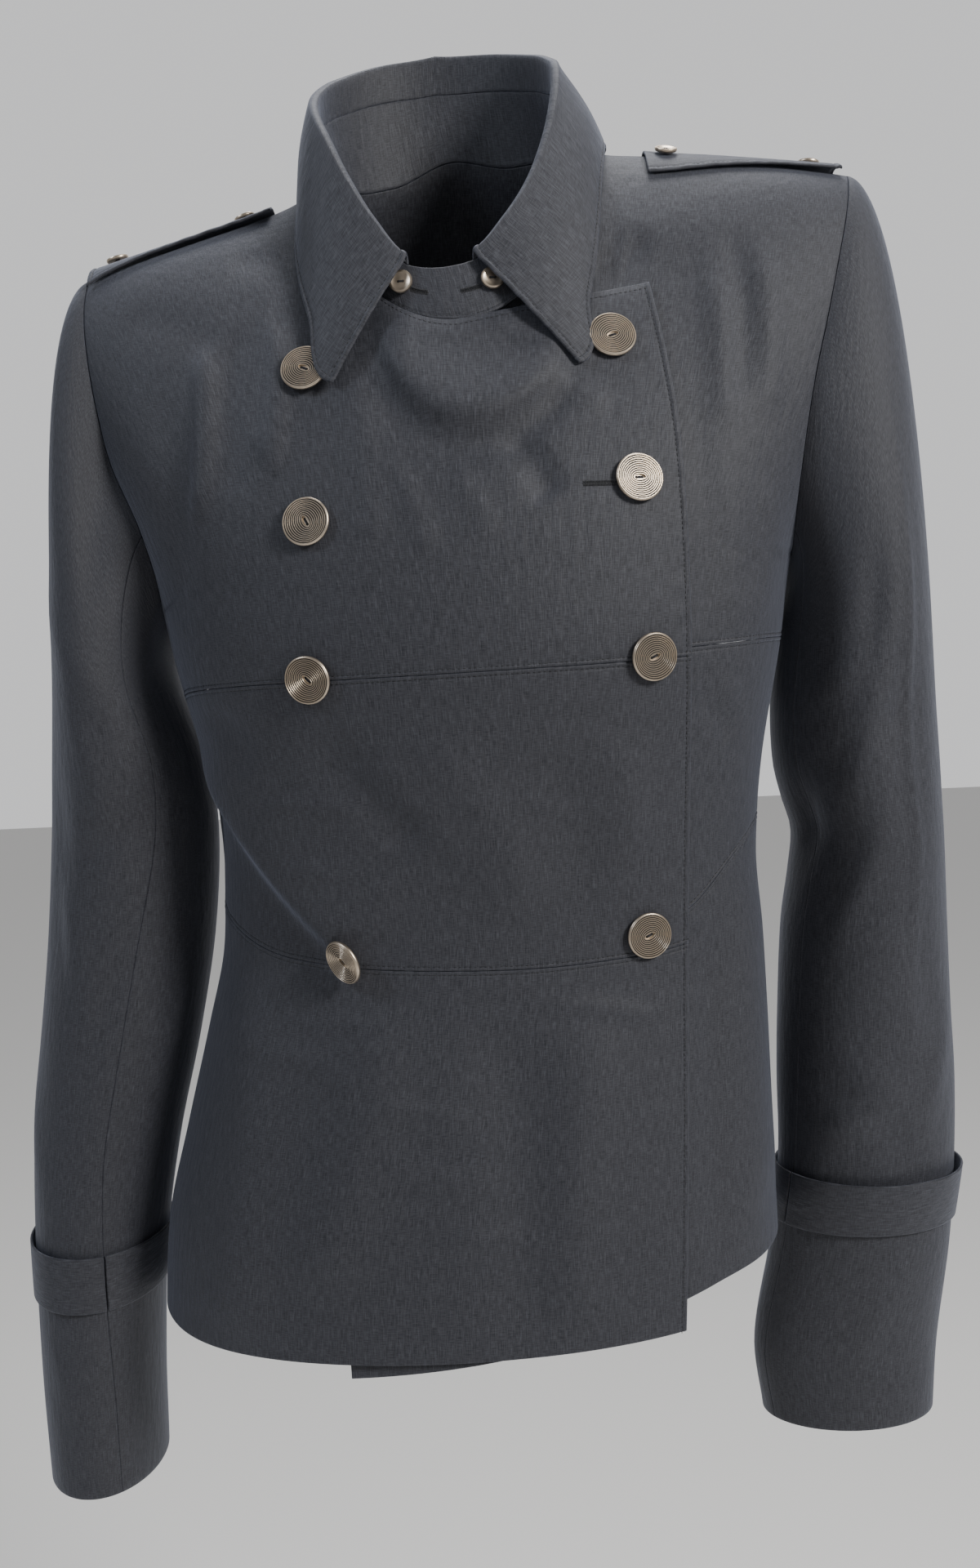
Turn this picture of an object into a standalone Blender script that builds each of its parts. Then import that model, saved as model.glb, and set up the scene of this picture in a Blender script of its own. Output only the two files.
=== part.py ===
"""Military-style jacket, double-breasted and hip length, worn and empty.

Metres, +Z up, the front faces -Y and +X is the wearer's left. The origin lies between the
shoulders at the height of the side neck. Every cloth piece is a wall lofted between the points
of its outer face and the same points moved in by the cloth's thickness.
"""
import math
from bisect import bisect_right

import bmesh
import bpy
from mathutils import Matrix, Vector

# Cloth and making
CLOTH = 0.0013              # two layers of light woven cloth with an interlining
HALF_SEAM = 0.00015         # each piece stops this far short of a seam line
LAP_STEP = 0.0028           # how far the left front lies behind the right front
CLOSE_START = -0.200        # height where the body starts to close in to the shoulders
NECK_CLOSE_POWER = 0.588    # roundness of the chest and back towards the neck
PAD_CLOSE_POWER = 0.42      # the same at the ends of the padded shoulders
SECTION_POWER = 0.80        # flatness of the chest and back across the body

# Body sections: height, right side, left side, depth at centre front, depth at centre back
BODY_SECTIONS = (
    (-0.640, -0.197, 0.154, -0.114, 0.114),
    (-0.555, -0.190, 0.152, -0.109, 0.110),
    (-0.500, -0.176, 0.150, -0.102, 0.103),
    (-0.445, -0.161, 0.149, -0.094, 0.091),
    (-0.405, -0.151, 0.148, -0.090, 0.082),
    (-0.360, -0.149, 0.146, -0.095, 0.080),
    (-0.310, -0.153, 0.150, -0.106, 0.086),
    (-0.250, -0.166, 0.161, -0.117, 0.097),
    (-0.200, -0.176, 0.169, -0.114, 0.104),
    (-0.150, -0.196, 0.187, -0.104, 0.105),
    (-0.100, -0.216, 0.209, -0.092, 0.102),
    (-0.050, -0.236, 0.232, -0.082, 0.100),
    (0.000, -0.250, 0.248, -0.076, 0.100),
    (0.080, -0.255, 0.255, -0.070, 0.100),
)
# Shoulder line: across, height. The steep middle is the root of the neck.
SHOULDER_LINE = (
    (-0.240, -0.058),
    (-0.200, -0.041),
    (-0.150, -0.0255),
    (-0.102, -0.0105),
    (-0.086, -0.0035),
    (-0.066, 0.010),
    (-0.040, 0.040),
    (-0.006, 0.070),
    (0.030, 0.048),
    (0.064, 0.0175),
    (0.098, 0.0115),
    (0.140, 0.0065),
    (0.204, -0.0035),
    (0.240, -0.012),
)
# Armholes: share of the way down, right x, left x
ARMHOLE = (
    (0.00, -0.200, 0.204),
    (0.12, -0.2005, 0.199),
    (0.25, -0.1985, 0.192),
    (0.40, -0.1945, 0.184),
    (0.55, -0.1890, 0.176),
    (0.73, -0.1755, 0.1695),
    (0.90, -0.1690, 0.1660),
    (1.00, -0.1700, 0.1675),
)
ARMPIT_Z = {-1: -0.226, 1: -0.206}
# Seams round the body: share across from right side (-1) to left side (1), underbust, waist
SEAM_LINES = (
    (-1.0, -0.268, -0.374),
    (-0.8, -0.262, -0.385),
    (-0.5, -0.258, -0.401),
    (0.0, -0.255, -0.407),
    (0.5, -0.252, -0.400),
    (0.8, -0.249, -0.380),
    (1.0, -0.246, -0.360),
)
# Hem heights: share across, right front, left front, back
HEM_LINES = (
    (-1.0, -0.600, -0.628, -0.600),
    (-0.6, -0.605, -0.620, -0.598),
    (0.0, -0.603, -0.606, -0.592),
    (0.6, -0.600, -0.580, -0.584),
    (1.0, -0.598, -0.573, -0.573),
)
# Edge of the right front, on top: height, across
FRONT_EDGE = (
    (-0.640, 0.088),
    (-0.500, 0.096),
    (-0.400, 0.100),
    (-0.250, 0.103),
    (-0.150, 0.102),
    (-0.105, 0.098),
    (-0.072, 0.0905),
)
FRONT_CORNER = (0.0905, -0.072)
# Hidden edge of the left front, underneath: height, across
UNDER_EDGE = (
    (-0.640, -0.083),
    (-0.400, -0.088),
    (-0.250, -0.090),
    (-0.085, -0.088),
)
UNDER_CORNER = (-0.088, -0.085)
# The lap joins the base surface between these two places across the left front
LAP_CLEAR_X = 0.138
LAP_UNDER_X = 0.110

# Largest folds of the body: start x, start z, end x, end z, height, reach above, reach below
BODY_FOLDS = (
    (-0.150, -0.300, -0.076, -0.394, 0.0070, 0.034, 0.0075),
    (-0.120, -0.285, -0.020, -0.372, -0.0030, 0.024, 0.0240),
)

# Neck seam ring and the collar above it
NECK_MID_X = -0.006
NECK_HALF_WIDTH = 0.0625
NECK_FRONT_Z = -0.083
NECK_BACK_DEPTH = 0.049
NECK_POWER = 1.1
COLLAR_MID = (-0.0125, -0.010)
COLLAR_HALF = (0.0625, 0.061)
# Collar by the angle from the front, plus towards the wearer's left: fold height, drop from
# the fold to the stand seam, outer edge across, outer edge height, lift of the outer edge
COLLAR_LINES = (
    (-180.0, 0.086, 0.022, -0.0125, 0.018, 0.0040),
    (-150.0, 0.079, 0.021, -0.0480, -0.004, 0.0040),
    (-120.0, 0.065, 0.020, -0.0775, -0.010, 0.0042),
    (-105.0, 0.056, 0.019, -0.0820, -0.0045, 0.0045),
    (-90.0, 0.046, 0.017, -0.0830, -0.001, 0.0045),
    (-75.0, 0.034, 0.014, -0.0850, -0.016, 0.0042),
    (-60.0, 0.018, 0.011, -0.0860, -0.037, 0.0042),
    (-45.0, -0.005, 0.009, -0.0845, -0.056, 0.0045),
    (-30.0, -0.029, 0.007, -0.0785, -0.080, 0.0060),
    (-15.0, -0.048, 0.006, -0.0665, -0.1145, 0.0060),
    (15.0, -0.047, 0.006, 0.0530, -0.1085, 0.0042),
    (30.0, -0.031, 0.007, 0.0605, -0.076, 0.0042),
    (45.0, -0.011, 0.009, 0.0660, -0.050, 0.0042),
    (60.0, 0.013, 0.011, 0.0690, -0.030, 0.0042),
    (75.0, 0.038, 0.014, 0.0720, -0.007, 0.0042),
    (90.0, 0.058, 0.017, 0.0765, 0.0155, 0.0045),
    (105.0, 0.067, 0.019, 0.0745, 0.0115, 0.0048),
    (120.0, 0.074, 0.020, 0.0660, 0.004, 0.0042),
    (150.0, 0.083, 0.021, 0.0320, 0.010, 0.0040),
    (180.0, 0.086, 0.022, -0.0125, 0.018, 0.0040),
)
LEAF_FRONT_ANGLE = 15.0     # where each leaf's front edge leaves the fold
STAND_UNDER_END = -14.0     # angle of the stand's covered end
STAND_OVER_END = 392.0      # angle of the stand's covering end, once round and past the front
STAND_COVERED = 36.0        # the covered end lies behind up to this angle
FOLD_WIDTH = 0.0062         # width of the collar's roll at the fold

# Sleeves: height, outer x, inner x, mid y, half depth, front seam angle, back seam angle
RIGHT_SLEEVE = (
    (-0.705, -0.2695, -0.2050, 0.004, 0.0500, 120.0, 238.0),
    (-0.650, -0.2710, -0.2035, 0.006, 0.0510, 118.0, 238.0),
    (-0.580, -0.2710, -0.1985, 0.010, 0.0535, 110.0, 238.0),
    (-0.520, -0.2690, -0.1880, 0.014, 0.0540, 103.0, 238.0),
    (-0.460, -0.2625, -0.1730, 0.018, 0.0545, 103.0, 238.0),
    (-0.400, -0.2545, -0.1620, 0.020, 0.0560, 107.0, 238.0),
    (-0.340, -0.2470, -0.1590, 0.017, 0.0600, 118.0, 239.0),
    (-0.300, -0.2420, -0.1665, 0.012, 0.0640, 124.0, 239.0),
    (-0.262, -0.2370, -0.1765, 0.008, 0.0660, 122.0, 240.0),
)
LEFT_SLEEVE = (
    (-0.702, 0.2470, 0.1470, 0.020, 0.0340, 156.0, 222.0),
    (-0.660, 0.2500, 0.1430, 0.020, 0.0345, 158.0, 222.0),
    (-0.600, 0.2580, 0.1540, 0.020, 0.0390, 157.0, 224.0),
    (-0.550, 0.2610, 0.1600, 0.020, 0.0430, 154.0, 226.0),
    (-0.500, 0.2615, 0.1605, 0.020, 0.0470, 150.0, 228.0),
    (-0.460, 0.2595, 0.1620, 0.020, 0.0500, 147.0, 230.0),
    (-0.410, 0.2570, 0.1640, 0.018, 0.0550, 144.0, 232.0),
    (-0.360, 0.2540, 0.1670, 0.014, 0.0590, 140.0, 234.0),
    (-0.310, 0.2500, 0.1630, 0.010, 0.0630, 134.0, 236.0),
    (-0.245, 0.2460, 0.1690, 0.006, 0.0660, 122.0, 240.0),
)
SLEEVES = {-1: RIGHT_SLEEVE, 1: LEFT_SLEEVE}
# Largest folds of the sleeves: side, angle, height, turn per metre, length, depth, width
SLEEVE_FOLDS = (
    (-1, 45.0, -0.350, 40.0, 0.150, -0.0030, 0.014),
    (1, 70.0, -0.300, 60.0, 0.130, -0.0035, 0.014),
    (1, 150.0, -0.345, 250.0, 0.050, -0.0050, 0.012),
    (1, 110.0, -0.515, 900.0, 0.030, 0.0035, 0.016),
)
HEAD_REACH = 0.055          # how strongly the sleeve head stands out of the armhole
HEAD_SWELL = 0.025          # how much more it does at the shoulder than under the arm

# Cuff straps: side, height of the middle at the outer side, gape of the top edge
CUFF_STRAPS = ((-1, -0.583, 0.0010), (1, -0.568, 0.0040))
STRAP_HEIGHT = 0.0310
STRAP_LIFT = 0.0022         # height of the strap's outer face above the sleeve

# Shoulder straps: side, then for the inner and the outer end the place across, the depth of the
# strap's middle and the gape of its front edge, then the lift of the outer end
SHOULDER_STRAPS = {
    -1: ((-0.102, 0.003, 0.0042), (-0.1995, -0.003, 0.0010), 0.0025),
    1: ((0.097, -0.005, 0.0008), (0.2005, 0.006, 0.0006), 0.0025),
}
SHOULDER_STRAP_WIDTH = 0.040
SHOULDER_STRAP_LIFT = 0.0030

# Buttons
LARGE_RADIUS = 0.0120
SMALL_RADIUS = 0.0060
# Large buttons: name, across, height, turn of the thread slot, tip right, tip up
LARGE_BUTTONS = (
    ("button_right_1", -0.0812, -0.105, -25.0, 0.0, 0.0),
    ("button_right_2", -0.0820, -0.180, -60.0, 0.0, 0.0),
    ("button_right_3", -0.0850, -0.2555, -45.0, 0.0, 0.0),
    ("button_right_4", -0.0745, -0.3990, -50.0, -30.0, -16.0),
    ("button_left_1", 0.0705, -0.0965, 20.0, 0.0, 0.0),
    ("button_left_2", 0.0790, -0.1655, 0.0, 0.0, 0.0),
    ("button_left_3", 0.0825, -0.2515, 22.0, 0.0, 0.0),
    ("button_left_4", 0.0780, -0.3940, 22.0, 0.0, 0.0),
)
STAND_BUTTON_ANGLES = (("button_stand_right", -20.0), ("button_stand_left", 24.5))
# Shoulder buttons: name, side, across, share across the strap's half width
SHOULDER_BUTTONS = (
    ("button_shoulder_right_in", -1, -0.117, 0.0),
    ("button_shoulder_right_out", -1, -0.186, 0.0),
    ("button_shoulder_left_in", 1, 0.108, -0.25),
    ("button_shoulder_left_out", 1, 0.186, 0.0),
)

# Colours: charcoal cloth with a navy cast, pale old gold buttons
CLOTH_COLOUR = (0.045, 0.049, 0.066, 1.0)
METAL_COLOUR = (0.62, 0.54, 0.44, 1.0)

ACROSS_STEPS = 16           # columns of a front
BACK_STEPS = 20             # columns of the back
UPPER_SIDE_STEPS = 1        # rows beside the side seam of an upper panel
ARMHOLE_STEPS = 12          # rows beside the armhole
MIDDLE_STEPS = 6
SKIRT_STEPS = 7
SLEEVE_HEAD_STEPS = 6
SLEEVE_STEPS = 12
TOP_SLEEVE_STEPS = 16
UNDER_SLEEVE_STEPS = 8
NECK_STEP = 15.0            # degrees between two columns round the neck


def read_table(rows, key):
    """Smooth values of every later column where the first column is key."""
    keys = [row[0] for row in rows]
    key = min(max(key, keys[0]), keys[-1])
    low = min(max(bisect_right(keys, key) - 1, 0), len(rows) - 2)
    span = keys[low + 1] - keys[low]
    share = (key - keys[low]) / span
    values = []
    for column in range(1, len(rows[0])):
        start, end = rows[low][column], rows[low + 1][column]
        before, after = max(low - 1, 0), min(low + 2, len(rows) - 1)
        start_slope = (end - rows[before][column]) / (keys[low + 1] - keys[before]) * span
        end_slope = (rows[after][column] - start) / (keys[after] - keys[low]) * span
        square, cube = share ** 2, share ** 3
        values.append(start * (2 * cube - 3 * square + 1) + start_slope * (cube - 2 * square + share)
                      + end * (3 * square - 2 * cube) + end_slope * (cube - square))
    return values


def ease(value):
    """Smooth step from 0 at 0 to 1 at 1."""
    value = min(max(value, 0.0), 1.0)
    return value * value * (3 - 2 * value)


def mix(first, second, share):
    return first + (second - first) * share


def closing_height(x):
    """Height of the part of the body that closes in to the shoulder line."""
    return read_table(SHOULDER_LINE, x)[0] - CLOSE_START


def body_point(across, climb, back=False, lift=0.0):
    """Point of the body at a share across, -1 at the right side and 1 at the left.

    climb is the height above CLOSE_START, measured along the curve up to the shoulder line.
    """
    turn = across * math.pi / 2
    z = CLOSE_START + climb
    for _ in range(4):
        right, left, front_y, back_y = read_table(BODY_SECTIONS, z)
        x = (right + left) / 2 + (left - right) / 2 * math.sin(turn)
        if climb <= 0:
            closing = 1.0
            break
        reach = closing_height(x)
        rise = min(climb / reach, math.pi / 2)
        z = CLOSE_START + reach * math.sin(rise)
        power = mix(NECK_CLOSE_POWER, PAD_CLOSE_POWER, ease((abs(x) - 0.080) / 0.100))
        closing = max(math.cos(rise), 0.0) ** (2 * power)
    depth = (back_y if back else front_y) * max(math.cos(turn), 0.0) ** SECTION_POWER * closing
    gap = HALF_SEAM if back else -HALF_SEAM
    point = Vector((x, depth + gap, z))
    if lift:
        point += body_normal(across, climb, back) * lift
    return point


def body_normal(across, climb, back=False):
    """Outward normal of the body, from points close by."""
    step_across, step_climb = 0.004, 0.002
    low, high = max(across - step_across, -1.0), min(across + step_across, 1.0)
    sideways = body_point(high, climb, back) - body_point(low, climb, back)
    upward = body_point(across, climb + step_climb, back) - body_point(across, climb - step_climb, back)
    normal = sideways.cross(upward).normalized()
    return -normal if back else normal


def body_place(x, z, back=False):
    """Share across and climb of the body point seen from the front at (x, z)."""
    right, left = read_table(BODY_SECTIONS, z)[:2]
    sine = (x - (right + left) / 2) / ((left - right) / 2)
    across = math.asin(min(max(sine, -1.0), 1.0)) / (math.pi / 2)
    climb = z - CLOSE_START
    if climb > 0:
        reach = closing_height(x)
        climb = reach * math.asin(min(climb / reach, 1.0))
    return across, climb


def on_body(x, z, lift=0.0, back=False):
    """Point at a lift above the body where it is seen from the front at (x, z)."""
    across, climb = body_place(x, z, back)
    return body_point(across, climb, back, lift)


def fold_lift(x, z):
    """Height that the largest folds add at a place on the fronts."""
    total = 0.0
    for start_x, start_z, end_x, end_z, height, above, below in BODY_FOLDS:
        along_x, along_z = end_x - start_x, end_z - start_z
        length = math.hypot(along_x, along_z)
        share = ((x - start_x) * along_x + (z - start_z) * along_z) / length ** 2
        aside = ((x - start_x) * -along_z + (z - start_z) * along_x) / length
        reach = above if aside > 0 else below
        window = ease((share + 0.12) / 0.30) * ease((1.12 - share) / 0.22)
        total += height * window * math.exp(-(aside / reach) ** 2)
    return total


def under_fold_lift(x, z):
    """The same for the left front, which stays behind the right one where they lap."""
    total = fold_lift(x, z)
    return min(total, 0.0) + max(total, 0.0) * ease(x / 0.05)


def lap_depth(x):
    """How far the left front lies behind the right one at a place across."""
    return LAP_STEP * ease((LAP_CLEAR_X - x) / (LAP_CLEAR_X - LAP_UNDER_X))


def shoulder_top(x, y):
    """Height of the body under a place near the shoulder line."""
    low, high = -0.15, read_table(SHOULDER_LINE, x)[0]
    for _ in range(30):
        middle = (low + high) / 2
        depth = abs(on_body(x, middle, 0.0, y > 0).y)
        if depth > abs(y):
            low = middle
        else:
            high = middle
    return low


def neck_seam(angle):
    """Across and height of the neck seam at an angle from the front."""
    turn = math.radians(angle)
    x = NECK_MID_X + NECK_HALF_WIDTH * math.sin(turn)
    if math.cos(turn) < -0.01:
        return x, shoulder_top(x, -NECK_BACK_DEPTH * math.cos(turn))
    side_x = NECK_MID_X + math.copysign(NECK_HALF_WIDTH, math.sin(turn) or 1.0)
    side_z = read_table(SHOULDER_LINE, side_x)[0]
    return x, mix(NECK_FRONT_Z, side_z, (1 - math.cos(turn)) ** NECK_POWER)


def armhole_place(side, angle):
    """Across and height of the armhole at an angle: 0 shoulder, 90 front, 180 armpit."""
    share = (1 - math.cos(math.radians(angle))) / 2
    right_x, left_x = read_table(ARMHOLE, share)
    x = left_x if side > 0 else right_x
    tip_x = ARMHOLE[0][2] if side > 0 else ARMHOLE[0][1]
    z = mix(read_table(SHOULDER_LINE, tip_x)[0], ARMPIT_Z[side], share)
    return x, z


def edge_place(side, angle, back):
    """Armhole place in the body's own two directions, held at the side seam under the arm."""
    x, z = armhole_place(side, angle)
    across, climb = body_place(x, z, back)
    if angle >= 180.0:
        across = float(side)
    return across, climb


def blend_sides(bottom, top, first, last, rows, columns):
    """Grid of places inside four border lines, each a list of (across, climb)."""
    grid = []
    for i in range(rows + 1):
        v = i / rows
        line = []
        for j in range(columns + 1):
            u = j / columns
            place = []
            for k in (0, 1):
                ruled = mix(bottom[j][k], top[j][k], v) + mix(first[i][k], last[i][k], u)
                corner = mix(mix(bottom[0][k], bottom[-1][k], u), mix(top[0][k], top[-1][k], u), v)
                place.append(ruled - corner)
            line.append(tuple(place))
        grid.append(line)
    return grid


def seam_height(across, which):
    """Height of the underbust seam (0) or the waist seam (1)."""
    return read_table(SEAM_LINES, across)[which]


def upper_side(side, back):
    """Side border of an upper panel: the side seam, then the armhole up to the shoulder."""
    seam_climb = seam_height(side, 0) - CLOSE_START + HALF_SEAM
    pit_climb = ARMPIT_Z[side] - CLOSE_START
    places = []
    for i in range(UPPER_SIDE_STEPS):
        places.append((float(side), mix(seam_climb, pit_climb, i / UPPER_SIDE_STEPS)))
    for i in range(ARMHOLE_STEPS + 1):
        places.append(edge_place(side, 180.0 - i * 180.0 / ARMHOLE_STEPS, back))
    return places


def shoulder_places(side, count, back):
    """Places along the shoulder seam from the armhole to just before the neck."""
    tip_x = armhole_place(side, 0.0)[0]
    neck_x = NECK_MID_X + side * NECK_HALF_WIDTH
    places = []
    for i in range(count):
        x = mix(tip_x, neck_x, i / count)
        places.append(body_place(x, read_table(SHOULDER_LINE, x)[0], back))
    return places


def edge_share(table, height):
    """Share across of a front edge at a height."""
    return body_place(read_table(table, height)[0], height)[0]


def upper_front(side, edge_table, corner):
    """Places of an upper front, from its side seam to its front edge."""
    neck_columns = [-90 + i * NECK_STEP for i in range(7)]
    shoulder_count = 5
    free_count = ACROSS_STEPS - shoulder_count - 6
    top = shoulder_places(side, shoulder_count, False)
    for angle in neck_columns:
        x, z = neck_seam(-side * angle)
        top.append(body_place(x, z))
    start_x, start_z = neck_seam(0.0)
    for i in range(1, free_count + 1):
        share = i / free_count
        x, z = mix(start_x, corner[0], share), mix(start_z, corner[1], share)
        top.append(body_place(x, z))
    rows = UPPER_SIDE_STEPS + ARMHOLE_STEPS
    last_across = edge_share(edge_table, seam_height(edge_share(edge_table, -0.252), 0))
    bottom = []
    for j in range(ACROSS_STEPS + 1):
        across = mix(float(side), last_across, j / ACROSS_STEPS)
        bottom.append((across, seam_height(across, 0) - CLOSE_START + HALF_SEAM))
    edge_low = seam_height(last_across, 0)
    last = []
    for i in range(rows + 1):
        height = mix(edge_low, corner[1], i / rows)
        across, climb = body_place(read_table(edge_table, height)[0], height)
        last.append((across, climb))
    last[0], last[-1] = bottom[-1], top[-1]
    return blend_sides(bottom, top, upper_side(side, False), last, rows, ACROSS_STEPS)


def upper_back():
    """Places of the upper back, from the right side seam to the left."""
    shoulder_count = (BACK_STEPS - 12) // 2
    top = shoulder_places(-1, shoulder_count, True)
    for i in range(13):
        x, z = neck_seam(-90.0 - i * NECK_STEP)
        top.append(body_place(x, z, True))
    top += list(reversed(shoulder_places(1, shoulder_count, True)))
    rows = UPPER_SIDE_STEPS + ARMHOLE_STEPS
    bottom = []
    for j in range(BACK_STEPS + 1):
        across = -1 + 2 * j / BACK_STEPS
        bottom.append((across, seam_height(across, 0) - CLOSE_START + HALF_SEAM))
    return blend_sides(bottom, top, upper_side(-1, True), upper_side(1, True), rows, BACK_STEPS)


def lower_panel(start, end, tier, hem_column, rows, columns):
    """Places of a panel between two seams; start and end give the share across by height."""
    grid = []
    for i in range(rows + 1):
        v = i / rows
        line = []
        for j in range(columns + 1):
            u = j / columns
            height = -0.40
            for _ in range(3):
                across = mix(start(height), end(height), u)
                if tier == "middle":
                    low = seam_height(across, 1) + HALF_SEAM
                    high = seam_height(across, 0) - HALF_SEAM
                else:
                    low = read_table(HEM_LINES, across)[hem_column]
                    high = seam_height(across, 1) - HALF_SEAM
                height = mix(low, high, v)
            line.append((across, height - CLOSE_START))
        grid.append(line)
    return grid


def make_object(name, bm, material, smooth=True):
    """Object of a closed mesh, with its faces pointing out."""
    if bm.calc_volume(signed=True) < 0:
        bmesh.ops.reverse_faces(bm, faces=bm.faces)
    mesh = bpy.data.meshes.new(name)
    bm.to_mesh(mesh)
    bm.free()
    mesh.materials.append(material)
    if smooth:
        mesh.shade_smooth()
        mesh.set_sharp_from_angle(angle=math.radians(45))
    obj = bpy.data.objects.new(name, mesh)
    PARTS.objects.link(obj)
    return obj


def wall_between(name, outer, inner, material):
    """Closed wall lofted between two grids of points, with a rim round its four sides."""
    bm = bmesh.new()
    rows, columns = len(outer), len(outer[0])
    faces_out = [[bm.verts.new(point) for point in line] for line in outer]
    faces_in = [[bm.verts.new(point) for point in line] for line in inner]
    for i in range(rows - 1):
        for j in range(columns - 1):
            bm.faces.new((faces_out[i][j], faces_out[i][j + 1], faces_out[i + 1][j + 1], faces_out[i + 1][j]))
            bm.faces.new((faces_in[i][j], faces_in[i + 1][j], faces_in[i + 1][j + 1], faces_in[i][j + 1]))
    rim = [(0, j) for j in range(columns)] + [(i, columns - 1) for i in range(1, rows)]
    rim += [(rows - 1, j) for j in range(columns - 2, -1, -1)] + [(i, 0) for i in range(rows - 2, 0, -1)]
    for k, (i, j) in enumerate(rim):
        next_i, next_j = rim[(k + 1) % len(rim)]
        bm.faces.new((faces_out[i][j], faces_in[i][j], faces_in[next_i][next_j], faces_out[next_i][next_j]))
    return make_object(name, bm, material)


def body_wall(name, places, back=False, under=False):
    """Cloth panel on the body; the inner face never crosses the plane between front and back."""
    outer, inner = [], []
    for line in places:
        outer_line, inner_line = [], []
        for across, climb in line:
            base = body_point(across, climb, back)
            normal = body_normal(across, climb, back)
            lift = 0.0
            if under:
                lift = under_fold_lift(base.x, base.z) - lap_depth(base.x)
            elif not back:
                lift = fold_lift(base.x, base.z)
            for points, height in ((outer_line, lift), (inner_line, lift - CLOTH)):
                point = base + normal * height
                point.y = max(point.y, HALF_SEAM) if back else min(point.y, -HALF_SEAM)
                points.append(point)
        outer.append(outer_line)
        inner.append(inner_line)
    return wall_between(name, outer, inner, CLOTH_MATERIAL)


def make_body():
    """Fronts and back in three tiers."""
    right = (lambda height: -1.0, lambda height: edge_share(FRONT_EDGE, height))
    left = (lambda height: 1.0, lambda height: edge_share(UNDER_EDGE, height))
    whole = (lambda height: -1.0, lambda height: 1.0)
    body_wall("right_front_upper", upper_front(-1, FRONT_EDGE, FRONT_CORNER))
    body_wall("left_front_upper", upper_front(1, UNDER_EDGE, UNDER_CORNER), under=True)
    body_wall("back_upper", upper_back(), back=True)
    for tier, rows in (("middle", MIDDLE_STEPS), ("skirt", SKIRT_STEPS)):
        body_wall("right_front_" + tier, lower_panel(*right, tier, 0, rows, ACROSS_STEPS))
        body_wall("left_front_" + tier, lower_panel(*left, tier, 1, rows, ACROSS_STEPS), under=True)
        body_wall("back_" + tier, lower_panel(*whole, tier, 2, rows, BACK_STEPS), back=True)


def sleeve_ring(side, angle, height):
    """Point of a sleeve below its head."""
    outer_x, inner_x, mid_y, half_depth = read_table(SLEEVES[side], height)[:4]
    turn = math.radians(angle)
    half_width = abs(outer_x - inner_x) / 2
    x = (outer_x + inner_x) / 2 + side * half_width * math.cos(turn)
    return Vector((x, mid_y - half_depth * math.sin(turn), height))


def sleeve_point(side, angle, length):
    """Point of a sleeve: length 0 at the armhole, 1 below the armpit, 2 at the cuff hem."""
    rows = SLEEVES[side]
    head_z, hem_z = rows[-1][0], rows[0][0]
    if length >= 1.0:
        height = mix(head_z, hem_z, length - 1.0)
        point = sleeve_ring(side, angle, height)
        return point + sleeve_fold(side, angle, height, point)
    angle = angle % 360.0
    back = angle > 180.0
    turn = math.radians(angle)
    across, climb = edge_place(side, 360.0 - angle if back else angle, back)
    start = body_point(across, climb, back)
    leave = Vector((side * (0.72 + 0.28 * math.cos(turn)), -0.5 * math.sin(turn),
                    -0.10 - 0.45 * (1 - math.cos(turn))))
    leave *= HEAD_REACH + HEAD_SWELL * math.cos(turn)
    end = sleeve_ring(side, angle, head_z)
    arrive = (sleeve_ring(side, angle, head_z - 0.01) - end) * ((end - start).length / 0.01)
    start = start + leave.normalized() * (2 * HALF_SEAM)
    square, cube = length ** 2, length ** 3
    return (start * (2 * cube - 3 * square + 1) + leave * (cube - 2 * square + length)
            + end * (3 * square - 2 * cube) + arrive * (cube - square))


def sleeve_fold(side, angle, height, point):
    """Move of a sleeve point by the largest folds."""
    total = 0.0
    for fold_side, fold_angle, fold_z, twist, length, depth, width in SLEEVE_FOLDS:
        if fold_side != side:
            continue
        line_angle = fold_angle + twist * (fold_z - height)
        apart = (angle - line_angle + 180.0) % 360.0 - 180.0
        aside = math.radians(apart) * 0.05
        along = (height - fold_z) / (length / 2)
        total += depth * math.exp(-(aside / width) ** 2) * math.exp(-along ** 2 * 1.5)
    middle = sleeve_ring(side, 0.0, height).lerp(sleeve_ring(side, 180.0, height), 0.5)
    return (point - middle).normalized() * total


def sleeve_normal(side, angle, length):
    """Outward normal of a sleeve, from points close by."""
    before, after = max(length - 0.01, 0.0), min(length + 0.01, 2.0)
    round_step = sleeve_point(side, angle + 2.0, length) - sleeve_point(side, angle - 2.0, length)
    down_step = sleeve_point(side, angle, after) - sleeve_point(side, angle, before)
    return round_step.cross(down_step).normalized() * side


def sleeve_lengths():
    lengths = [(i / SLEEVE_HEAD_STEPS) ** 1.4 for i in range(SLEEVE_HEAD_STEPS)]
    return lengths + [1 + i / SLEEVE_STEPS for i in range(SLEEVE_STEPS + 1)]


def seam_angles(side, length):
    """Angles of the front seam and the back seam of a sleeve at a length."""
    rows = SLEEVES[side]
    height = mix(rows[-1][0], rows[0][0], max(length - 1.0, 0.0))
    front, back = read_table(rows, height)[4:6]
    share = ease(length)
    return mix(120.0, front, share), mix(240.0, back, share)


def sleeve_angles(side, length, upper):
    """Angles of a sleeve piece's columns at a length."""
    front, back = seam_angles(side, length)
    half_gap = math.degrees(HALF_SEAM / 0.045)
    if upper:
        start, end, steps = back - 360.0 + half_gap, front - half_gap, TOP_SLEEVE_STEPS
    else:
        start, end, steps = front + half_gap, back - half_gap, UNDER_SLEEVE_STEPS
    return [mix(start, end, j / steps) for j in range(steps + 1)]


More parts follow.
